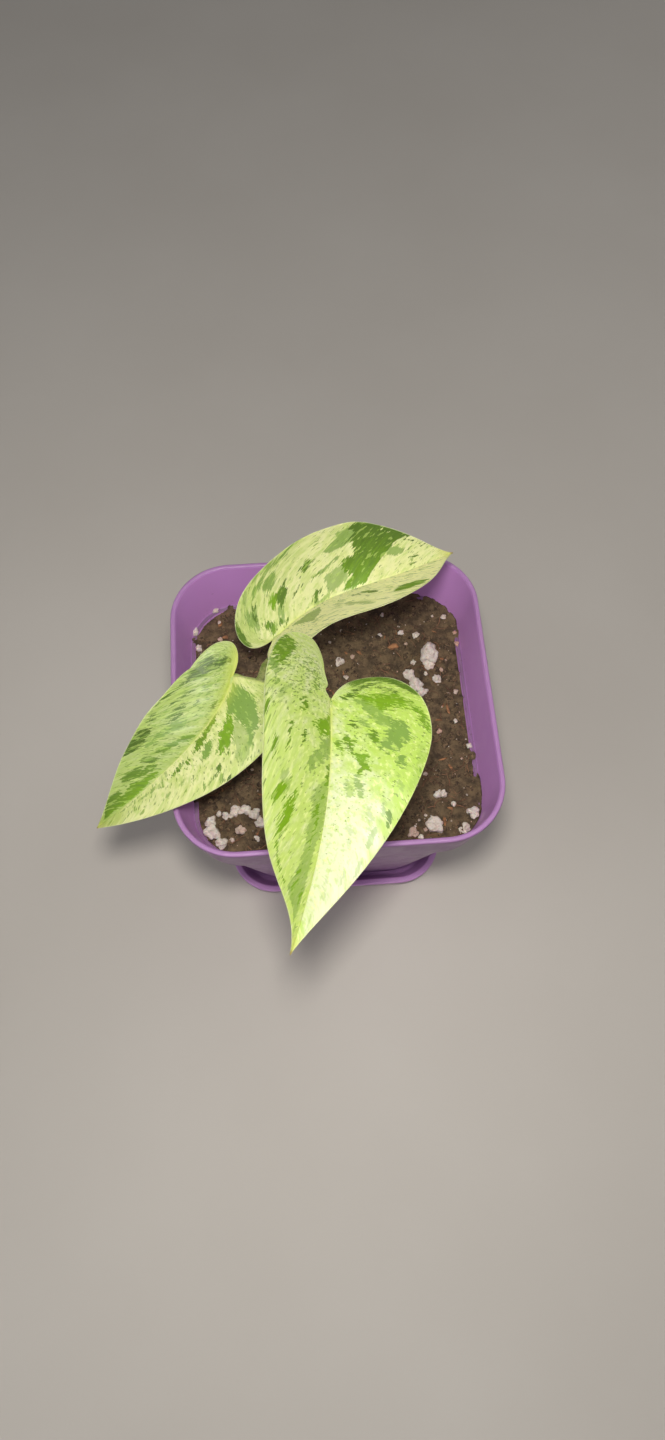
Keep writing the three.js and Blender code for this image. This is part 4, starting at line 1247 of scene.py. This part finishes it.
# %% Make the pot
FOOT, FOOT_CORNER = 7.0, 14.0  # how wide the foot is, and its inner corners
RIM_BAND, BAND_EDGE, BAND_STEP = 2.8, 3.4, 0.8  # the rim's band: its depth, and how it ends
outer = [
    (BASE_SIDE - 2 * FOOT, FOOT_CORNER, pot_bottom + RECESS),
    (BASE_SIDE - 2 * FOOT, FOOT_CORNER, pot_bottom),
    (BASE_SIDE, BASE_CORNER, pot_bottom),
    (body + 2 * WALL - 0.5, body_corner + WALL, LEDGE_HEIGHT - WALL),
    (collar + 2 * WALL, RIM_CORNER - 3, LEDGE_HEIGHT - 1),
    (RIM_SIDE - 2 * BAND_STEP, RIM_CORNER - BAND_STEP, POT_TOP - BAND_EDGE),
    (RIM_SIDE, RIM_CORNER, POT_TOP - RIM_BAND),
    (RIM_SIDE, RIM_CORNER, POT_TOP),
    (mouth, RIM_CORNER - WALL, POT_TOP),
    (collar, collar_corner, LEDGE_HEIGHT),
    (body, body_corner, LEDGE_HEIGHT),
    (base_inside, BASE_CORNER - WALL, inner_floor),
]
outer_radii = (0, 0.6, 1.6, 1.2, 1.0, 0.4, 0.5, 1.1, 1.1, 1.0, 0.7)
points, faces = loft(rounded(outer, outer_radii))
plastic = Finish("lilac_plastic", Roughness=0.4, Subsurface_Weight=0.08, Subsurface_Scale=0.004,
                 Subsurface_Radius=(1.0, 0.6, 1.0), Specular_IOR_Level=0.45)
pot_shell = add_piece("pot_shell", points, faces, plastic, "pot", "pot")

DRAIN_COUNT, DRAIN_RADIUS, DRAIN_RING, DRILL_LENGTH = 4, 4.0, 26.0, 12.0
for i in range(DRAIN_COUNT):
    angle = (i + 0.5) * 2 * math.pi / DRAIN_COUNT
    spot = (DRAIN_RING * math.cos(angle), DRAIN_RING * math.sin(angle), pot_bottom + 3)
    bpy.ops.mesh.primitive_cylinder_add(radius=DRAIN_RADIUS * MM, depth=DRILL_LENGTH * MM,
                                        location=[c * MM for c in spot], vertices=40)
    drill = bpy.context.object
    cut = pot_shell.modifiers.new("drain", "BOOLEAN")
    cut.object, cut.operation, cut.solver = drill, "DIFFERENCE", "EXACT"
    bpy.context.view_layer.objects.active = pot_shell
    bpy.ops.object.modifier_apply(modifier=cut.name)
    bpy.data.objects.remove(drill)
print("pot faces:", len(pot_shell.data.polygons))

# %% [markdown]
# ## The plastic
# Pressed plastic is smooth but never quite even: it is a little cloudy, finely scratched by
# handling, and dusty with peat where the soil has been. Height on the pot decides where the
# dust lies, so the finish reads the place and fades the stain in with noise near the soil.
# The way a wall faces tells its inside, painted a clear, lighter lilac as painted light, from its
# outside, greyed and darkened in patches as painted shade. A thin band on the rim's top is
# lightened as a painted highlight. Two materials would need the mesh to be parted, and the change
# falls on the rounded rim anyway.

# %% Paint the pot
def plastic_finish(f, deep, light, soil_line=None):
    """Clouded, scratched plastic. Given a soil line in mm: stains, painted light inside, painted
    shade outside and a painted highlight on the rim.
    """
    cloud = f.noise(28, 4, 0.5)
    colour = f.mix(deep, light, f.step(cloud, 0.3, 0.7))
    height = f.node("ShaderNodeSeparateXYZ", {0: f.place}).outputs["Z"]
    scratch = f.noise(1.2, 3, 0.6, stretch=(1, 1, 14))
    facing = f.node("ShaderNodeVectorMath", {0: f.node("ShaderNodeNewGeometry").outputs["Normal"],
                                             1: f.place}, operation="DOT_PRODUCT").outputs["Value"]
    if soil_line:
        # Painted light: walls that face inwards get a lighter lilac, where the lamp and the light
        # bounced between the walls fall.
        inside = f.step(facing, 0.01, -0.01)
        colour = f.mix(colour, linear(204, 148, 212), f.sum(inside, "MULTIPLY", 0.9))
        # Painted shade: walls that face outwards are greyed and darkened in patches of noise, as
        # they lie in shade below the rim.
        painted_outside_shade = f.step(f.noise(40, 3, 0.5, seed=6), 0.3, 0.7, (0.5, 0.68))
        painted_outside_shade = f.sum(f.step(facing, 0.02, 0.05), "MULTIPLY", painted_outside_shade)
        colour = f.mix(colour, linear(110, 92, 98), painted_outside_shade)
        low, high = ((soil_line - 6) * MM, (soil_line + 9) * MM)
        near = f.step(height, high, low)
        crumbs = f.step(f.noise(1.7, 5, 0.65, seed=5), 0.56, 0.66)
        stain = f.sum(f.sum(near, "MULTIPLY", crumbs), "MULTIPLY", 0.55)
        colour = f.mix(colour, linear(92, 66, 60), stain)
        # Painted highlight: the top of the rim is lightened, where the lamp catches its edge.
        rim = f.step(height, (POT_TOP - 0.9) * MM, (POT_TOP - 0.1) * MM)
        colour = f.mix(colour, linear(204, 150, 214), f.sum(rim, "MULTIPLY", 0.45))
    specks = f.step(f.noise(2.4, 2, 0.5, seed=9), 0.77, 0.8)
    colour = f.mix(colour, linear(104, 72, 84), f.sum(specks, "MULTIPLY", 0.4))
    f.set("Base Color", colour)
    f.set("Roughness", f.step(f.noise(9, 5, 0.6, seed=2), 0.3, 0.7, (0.36, 0.5)))
    f.relief(f.sum(f.noise(0.5, 2), "ADD", scratch), 0.03, 0.5)


plastic_finish(plastic, linear(158, 104, 172), linear(172, 118, 186), soil_line=LEDGE_HEIGHT)
print("finish:", plastic.material.name)

# %% [markdown]
# ## The saucer
# The saucer is pressed from the same kind of plastic: a flat floor, a sloping wall and a lip
# that is turned out, so that it can be gripped with wet hands. It is lofted like the pot,
# from one profile with rounded corners. It takes the same finish without the soil's stains.

# %% Make the saucer
tray_plastic = Finish("deep_lilac_plastic", Roughness=0.42, Specular_IOR_Level=0.45)
plastic_finish(tray_plastic, linear(180, 128, 186), linear(192, 142, 196))
LIP_SIDE, LIP_CORNER, TRAY_SIDE, TRAY_CORNER = 117.0, 24.0, 106.0, 20.0
TRAY_HEIGHT, TRAY_WALL, LIP = 11.0, 2.2, 3.2
TRAY_FOOT, TRAY_RECESS = 7.0, 0.6
tray = [
    (TRAY_SIDE - 2 * TRAY_FOOT + 2, TRAY_CORNER - 6, TRAY_RECESS),
    (TRAY_SIDE - 2 * TRAY_FOOT, TRAY_CORNER - 6, 0),
    (TRAY_SIDE, TRAY_CORNER, 0),
    (LIP_SIDE - 2 * LIP + 2 * TRAY_WALL, LIP_CORNER - LIP + TRAY_WALL, TRAY_HEIGHT - 2.6),
    (LIP_SIDE - 0.3, LIP_CORNER - 0.2, TRAY_HEIGHT - 1.9),
    (LIP_SIDE, LIP_CORNER, TRAY_HEIGHT),
    (LIP_SIDE - 2 * LIP, LIP_CORNER - LIP, TRAY_HEIGHT),
    (TRAY_SIDE - 2 * TRAY_WALL, TRAY_CORNER - TRAY_WALL, SAUCER_FLOOR),
    (TRAY_SIDE - 2 * TRAY_WALL - 20, TRAY_CORNER - TRAY_WALL - 8, SAUCER_FLOOR),
]
tray_radii = (0, 0.5, 0.8, 0.7, 0.6, 0.9, 0.9, 1.5)
add_piece("saucer_tray", *loft(rounded(tray, tray_radii)), tray_plastic, "saucer", "saucer")

# %% [markdown]
# ## The soil
# The mix is dark peat with loose crumbs, red-brown fibres, bark, and white perlite. A noisy
# texture on a flat disc would look like carpet from the side. So the bed is a real surface
# with lumps, and the crumbs, fibres, chips and grains are real small solids, each kind joined
# in one piece. They are strewn by a seeded draw, and the large grains lie where they show.
# At the wall the peat is banked up over the ledge and hides most of it, as watering leaves
# it, so the bed reaches out to the collar and draws back inside the narrower body below.

# %% How high the peat lies
SOIL_LEVEL, SOIL_BUMPS, SOIL_DIP = 110.0, 1.1, 2.0
CLOD_SIZE, CLOD_HEIGHT, CRUMB_SIZE, CRUMB_HEIGHT = 7, 0.8, 1.9, 0.75
BANK_REACH, BANK_HEIGHT, BANK_ROUGH, GAP_DEPTH = 6, 1.2, 1.1, 2.6
# Soil is banked against the wall and hides the ledge, save at these places: (x, y, reach).
LEDGE_SHOWS = [(-64, 62, 12), (-48, 69, 12), (-69, 32, 16), (-66, -50, 11), (-58, -65, 10),
               (69, 25, 17), (70, -10, 18), (10, 69, 9)]


def soil_height(x, y):
    """The broad height of the soil, as the plain solid has it."""
    edge = max(abs(x), abs(y)) / (body / 2)
    broad = math.sin(x / 19 + 1) * math.cos(y / 23 - 0.6)
    lumps = math.sin(x / 4.7 + 2 * math.sin(y / 9)) * math.sin(y / 5.3 - 1.3)
    return SOIL_LEVEL - SOIL_DIP * (1 - edge * edge) + SOIL_BUMPS * (0.7 * broad + 0.5 * lumps)


def to_collar(x, y):
    """How far a place is from the collar's wall."""
    flat = collar / 2 - collar_corner
    a, b = abs(x) - flat, abs(y) - flat
    return collar_corner - (math.hypot(a, b) if min(a, b) > 0 else max(a, b))


def peat_height(x, y):
    """The soil with its clods and crumbs, and its bank against the wall."""
    clods = noise.fractal(Vector((x / CLOD_SIZE, y / CLOD_SIZE, 3)), 0.8, 2.1, 3)
    crumbs = noise.turbulence(Vector((x / CRUMB_SIZE, y / CRUMB_SIZE, 9)), 3, True)
    gap = max(math.exp(-((math.hypot(x - a, y - b) / reach) ** 4)) for a, b, reach in LEDGE_SHOWS)
    near = min(1, max(0, 1 - to_collar(x, y) / BANK_REACH))
    bank = near * (BANK_HEIGHT + BANK_ROUGH * clods - GAP_DEPTH * gap)
    return soil_height(x, y) + CLOD_HEIGHT * clods + CRUMB_HEIGHT * (crumbs - 0.6) + bank


print("peat at the middle:", round(peat_height(0, 0), 1), "mm")

# %% [markdown]
# ## The bed of peat
# The bed is a square grid whose corners are pulled in to the pot's round ones, so that its
# cells stay nearly even to the wall. A skirt goes down from its edge to the pot's floor and
# a bottom closes it, because a piece that fills something should be a closed body.

# %% Make the bed
BED_STEPS = 220
# In mm: how far the bed sinks into the collar, starts to draw in below the ledge, and clears
# the wall there and at the floor.
BED_SINK, UNDER_LEDGE, WALL_GAP, FLOOR_GAP = 0.2, 1.2, 0.3, 0.5


def make_bed(finish):
    """The closed body of soil: its surface, a skirt below it, and a bottom."""
    half, corner = collar / 2 + BED_SINK, collar_corner
    flat = half - corner
    points, faces = [], []
    for i in range(BED_STEPS + 1):
        for j in range(BED_STEPS + 1):
            a, b = (2 * i / BED_STEPS - 1) * half, (2 * j / BED_STEPS - 1) * half
            far = max(abs(a), abs(b), 1e-9)
            x, y = abs(a) / far * half, abs(b) / far * half
            pull = 1.0
            if min(x, y) > flat:
                dx, dy = unit(np.array([x, y]))
                centre = flat * (dx + dy)
                reach = centre + math.sqrt(max(centre**2 - 2 * flat**2 + corner**2, 0))
                pull = min(1, reach / math.hypot(x, y))
            points.append((a * pull, b * pull, peat_height(a * pull, b * pull)))
    row = BED_STEPS + 1
    for i in range(BED_STEPS):
        for j in range(BED_STEPS):
            faces.append([i * row + j, (i + 1) * row + j, (i + 1) * row + j + 1, i * row + j + 1])
    there, back = range(BED_STEPS), range(BED_STEPS, 0, -1)
    loop = [i * row for i in there] + [BED_STEPS * row + j for j in there]
    loop += [i * row + BED_STEPS for i in back] + list(back)
    # Below the ledge the body of soil draws back inside the pot's narrower wall.
    skirt = ((LEDGE_HEIGHT - UNDER_LEDGE, body / 2 - WALL_GAP),
             (inner_floor + CLEARANCE, base_inside / 2 - FLOOR_GAP))
    count, above = len(loop), loop
    for height, width in skirt:
        low = len(points)
        points += [(points[v][0] * width / half, points[v][1] * width / half, height) for v in loop]
        below = [low + n for n in range(count)]
        faces += [[above[(n + 1) % count], above[n], below[n], below[(n + 1) % count]]
                  for n in range(count)]
        above = below
    faces.append(above[::-1])
    return add_piece("soil_bed", points, faces, finish, "soil", "soil")


peat = Finish("dark_peat", Roughness=0.95)
clods = peat.noise(5, 5, 0.65)
grit = peat.noise(0.9, 4, 0.7, seed=3)
brown = peat.mix(linear(68, 55, 41), linear(124, 104, 76), peat.step(clods, 0.3, 0.7))
brown = peat.mix(brown, linear(150, 126, 92), peat.step(grit, 0.58, 0.75, (0, 0.6)))
peat.set("Base Color", peat.mix(brown, linear(46, 38, 29), peat.step(grit, 0.42, 0.28, (0, 0.8))))
peat.relief(peat.sum(grit, "ADD", peat.noise(0.35, 3, 0.6, seed=8)), 0.5, 0.9)
make_bed(peat)

# %% [markdown]
# ## Small solids
# Crumbs, grains and chips are all small, uneven lumps. Each starts as a ball of triangles that
# noise makes lumpy, and is pressed a little flat and turned at random. One lump laid out many
# times would be seen to repeat, so each is made anew, with few faces if it is small.

# %% Shape a small solid
draw = random.Random(20)


def pebble(subdivisions):
    """The points and faces of a unit ball made of triangles."""
    ball = bmesh.new()
    bmesh.ops.create_icosphere(ball, subdivisions=subdivisions, radius=0.5)
    made = np.array([v.co[:] for v in ball.verts]), [[v.index for v in f.verts] for f in ball.faces]
    ball.free()
    return made


BALLS = {k: pebble(k) for k in (1, 2, 3, 4)}


def lump(place, size, balls, ragged, flat=1.0, stretch=1.0):
    """One irregular grain of this size, turned at random."""
    points, faces = BALLS[balls]
    way = Vector([draw.uniform(-1, 1) for _ in range(3)])
    turn = np.array(way.to_track_quat("Z", "Y").to_matrix())
    seed = Vector([draw.uniform(0, 90) for _ in range(3)])
    swell = np.array([1 + 1.3 * ragged * noise.noise(Vector(p) * 2.4 + seed)
                      + 0.35 * ragged * noise.noise(Vector(p) * 7 + seed) for p in points])
    shaped = points * swell[:, None] * size * np.array([stretch, 1, 1])
    shaped = shaped @ turn.T * np.array([1, 1, flat])
    return shaped + np.asarray(place), faces


def join(parts):
    """The points and faces of many parts as one."""
    points, faces, start = [], [], 0
    for p, f in parts:
        points.append(p)
        faces += [[v + start for v in face] for face in f]
        start += len(p)
    return np.concatenate(points), faces


print("balls of", [len(faces) for _, faces in BALLS.values()], "triangles")

# %% [markdown]
# ## Crumbs
# Loose crumbs of peat lie all over the bed, most of them tiny and a few nearly 3 mm wide. A
# particle system could strew them, but the stem and the wall have to stay clear. So a place
# is drawn again until it is a good one, and the same draw later serves for grains and chips.

# %% Strew the crumbs
CRUMBS, STREWN, VINE_FOOT, FOOT_CLEAR = 2600, 68, (-23.7, 33.5), 5


def anywhere(margin=2.5):
    """A random place on the soil, clear of the vine's foot."""
    while True:
        x, y = (draw.uniform(-STREWN, STREWN) for _ in range(2))
        on_soil = peat_height(x, y) > LEDGE_HEIGHT or to_collar(x, y) > 3
        if on_soil and to_collar(x, y) > margin and math.dist((x, y), VINE_FOOT) > FOOT_CLEAR:
            return x, y


crumbs = []
for _ in range(CRUMBS):
    x, y = anywhere(0.9)
    size = 0.7 + 2.2 * draw.random() ** 3
    place = (x, y, peat_height(x, y) + 0.12 * size)
    crumbs.append(lump(place, size, 2 if size > 1.9 else 1, 0.9, 0.75))
crumb_finish = Finish("peat_crumbs", Roughness=0.95)
tone = crumb_finish.noise(2.2, 3, 0.6, seed=1)
grit = crumb_finish.noise(0.5, 3, 0.6)
light_ones = crumb_finish.step(tone, 0.35, 0.7)
shade = crumb_finish.mix(linear(64, 51, 38), linear(138, 114, 84), light_ones)
pores = crumb_finish.step(grit, 0.5, 0.35)
crumb_finish.set("Base Color", crumb_finish.mix(shade, linear(50, 41, 31), pores))
crumb_finish.relief(grit, 0.2)
add_piece("soil_crumbs", *join(crumbs), crumb_finish, "soil", smooth=False)

# %% [markdown]
# ## Perlite
# Perlite is volcanic glass that is heated until it pops, so its grains are white, rough and
# pitted, and some take up brown from the peat. The large grains are what the eye finds, so
# they are set where they were seen on the photo, and the dust between them is strewn. A value
# at each point says how stained its grain is, so all grains can share one mesh and one finish.

# %% Set and strew the perlite
SMALL_GRAINS, DUST_GRAINS = 60, 240
# The large grains that show: where they lie, their size, and how far they are stained.
LARGE_GRAINS = [
    (43.7, 29.3, 2.3, 0), (41.1, 22.1, 5, 0), (43.6, 16.9, 6, 0), (46.1, 12.3, 4.5, 0),
    (54.4, 18.9, 3.8, 0), (6.6, 31.9, 3.8, 0), (46.5, 44.1, 3, 0), (39, 46.4, 2.5, 0),
    (28.2, 46, 2, 0), (61.8, 53.6, 2.5, 0), (66.5, 44.3, 1.8, 1), (66.8, 37.9, 2.3, 1),
    (66, -18.5, 2.3, 0), (47.8, -42.4, 3.3, 0), (50.6, -42.6, 3.3, 0), (54.8, -48, 2.3, 0),
    (63, -53.5, 5, 0), (44.5, -58.7, 7, 0), (33.9, -60.9, 4.2, 0.7), (37.4, -63.1, 2.3, 0),
    (58.3, -61, 4.5, 0), (-53.8, -46.2, 3, 0), (-49, -44.1, 4.5, 0), (-44.3, -43.9, 5, 0),
    (-40.1, -46.2, 4.5, 0), (-37.5, -50.9, 4.5, 0), (-60.4, -49.2, 4.5, 0), (-56.6, -45, 2.3, 0),
    (-60, -54, 6.5, 0), (-56, -59.8, 5, 0), (-46.5, -54.1, 3.8, 0.5), (-39.2, -58.6, 2.3, 0),
    (-66.5, 54, 3.3, 0), (-64.3, 44.4, 3, 0), (-55.6, 65.5, 2.8, 0),
]
grains, stains = [], []


def strew(grain, stain):
    """Keep a grain, and how far it is stained."""
    grains.append(grain)
    stains.extend([stain] * len(grain[0]))


# The largest stands upright, with a tail on its near side.
strew(lump((51.8, 33, soil_height(52, 32) + 2.2), 8.5, 4, 0.5, 0.8, 1.15), 0)
strew(lump((51.4, 27, soil_height(51, 27) + 0.8), 4.6, 4, 0.5, 0.7, 1.2), 0.1)
for x, y, size, stain in LARGE_GRAINS:
    place = (x, y, soil_height(x, y) + 0.25 * size)
    strew(lump(place, size, 4, 0.5, 0.8, 1.1), stain)
for _ in range(SMALL_GRAINS):
    x, y = anywhere()
    size = draw.uniform(1.0, 2.4)
    strew(lump((x, y, peat_height(x, y) + 0.2 * size), size, 3, 0.5, 0.8), draw.random() ** 3)
for _ in range(DUST_GRAINS):
    x, y = anywhere(1.2)
    size = draw.uniform(0.35, 0.9)
    strew(lump((x, y, peat_height(x, y) + 0.25 * size), size, 1, 0.6), draw.random() ** 2)
perlite = Finish("perlite", Roughness=0.85, Subsurface_Weight=0.15, Subsurface_Scale=0.001)
pits = perlite.noise(0.7, 4, 0.65)
dirt = perlite.step(perlite.noise(2.6, 4, 0.6, seed=6), 0.5, 0.72, (0, 0.6))
white = perlite.mix(linear(224, 214, 202), linear(190, 176, 160), perlite.step(pits, 0.5, 0.3))
white = perlite.mix(white, linear(198, 160, 140), perlite.attribute("stain")[1])
perlite.set("Base Color", perlite.mix(white, linear(146, 118, 98), dirt))
perlite.relief(pits, 0.35)
add_piece("perlite", *join(grains), perlite, "soil",
          values={"stain": [(stain, 0, 0) for stain in stains]})

# %% [markdown]
# ## Bark
# Chips of bark are flat, long lumps of red-brown. They could be cut from a plank with a
# boolean, but at this size a pressed and turned lump looks the same. Six of them lie where
# they show, and smaller ones are strewn.

# %% Lay the bark chips
SMALL_CHIPS = 60
# Each chip: where it lies, its length, its turn, its thickness and its width.
CHIPS = [(34.6, 38.6, 6, 15, 1.3, 3), (49.5, -56.1, 5, 90, 1, 1.5), (-53.3, 57.6, 4, 60, 0.8, 2),
         (-51, 50.4, 3.5, 20, 0.8, 1.8), (58, 2, 5, 100, 1, 1.6), (-60, 28, 4.5, 75, 1, 1.8)]


def chip(x, y, length, turn, thick, width):
    """A flat, long lump that lies on the soil, turned by so many degrees."""
    points, faces = lump((0, 0, 0), 1, 2, 0.7)
    points = points * np.array([length, width, thick])
    c, s = math.cos(math.radians(turn)), math.sin(math.radians(turn))
    points = points @ np.array([[c, -s, 0], [s, c, 0], [0, 0, 1]]).T
    return points + np.array([x, y, peat_height(x, y) + 0.35]), faces


chips = [chip(*c) for c in CHIPS]
for _ in range(SMALL_CHIPS):
    x, y = anywhere()
    length, turn, width = draw.uniform(1.5, 4.5), draw.uniform(0, 180), draw.uniform(0.6, 1.4)
    chips.append(chip(x, y, length, turn, 0.6, width))
bark = Finish("bark_chips", Roughness=0.85)
grain = bark.noise(1.2, 4, 0.6, stretch=(3, 1, 1))
brown = bark.mix(linear(174, 124, 82), linear(118, 80, 54), bark.step(grain, 0.35, 0.65))
bark.set("Base Color", brown)
bark.relief(grain, 0.2)
add_piece("bark_chips", *join(chips), bark, "soil")

# %% [markdown]
# ## Fibres
# Fibres of peat are thin, bent threads that lie on the surface and stick up a little here and
# there. Hair would draw them faster, but hair isn't a mesh and would be lost on export. So
# each fibre is a narrow sweep with four sides, whose line wanders over the soil.

# %% Lay the fibres
FIBRES, FIBRE_LIMIT = 420, 64
fibres = []
for _ in range(FIBRES):
    x, y = anywhere(3)
    length, turn = draw.uniform(2.5, 11), draw.uniform(0, 2 * math.pi)
    radius, bend = draw.uniform(0.09, 0.22), draw.uniform(-0.7, 0.7)
    line = []
    for k in range(5):
        line.append((x, y, peat_height(x, y) + radius + 0.25 + 0.4 * draw.random()))
        x += math.cos(turn + bend * k) * length / 4
        y += math.sin(turn + bend * k) * length / 4
        x, y = (max(-FIBRE_LIMIT, min(FIBRE_LIMIT, c)) for c in (x, y))
    points, faces = sweep(smooth_line(line, 3), 10, 4, lambda share, a: np.full(len(a), radius))
    fibres.append((np.array(points), faces))
fibre_finish = Finish("peat_fibres", Roughness=0.8)
hue = fibre_finish.noise(4, 2, 0.5)
red_brown = fibre_finish.mix(linear(92, 62, 46), linear(146, 104, 74),
                             fibre_finish.step(hue, 0.4, 0.65))
fibre_finish.set("Base Color", red_brown)
fibre_finish.relief(fibre_finish.noise(0.3, 2, 0.5), 0.05)
add_piece("peat_fibres", *join(fibres), fibre_finish, "soil")

# %% [markdown]
# ## Size
# The dressed plant must stay as large as the frame.

# %% The end
print("the plant is built")
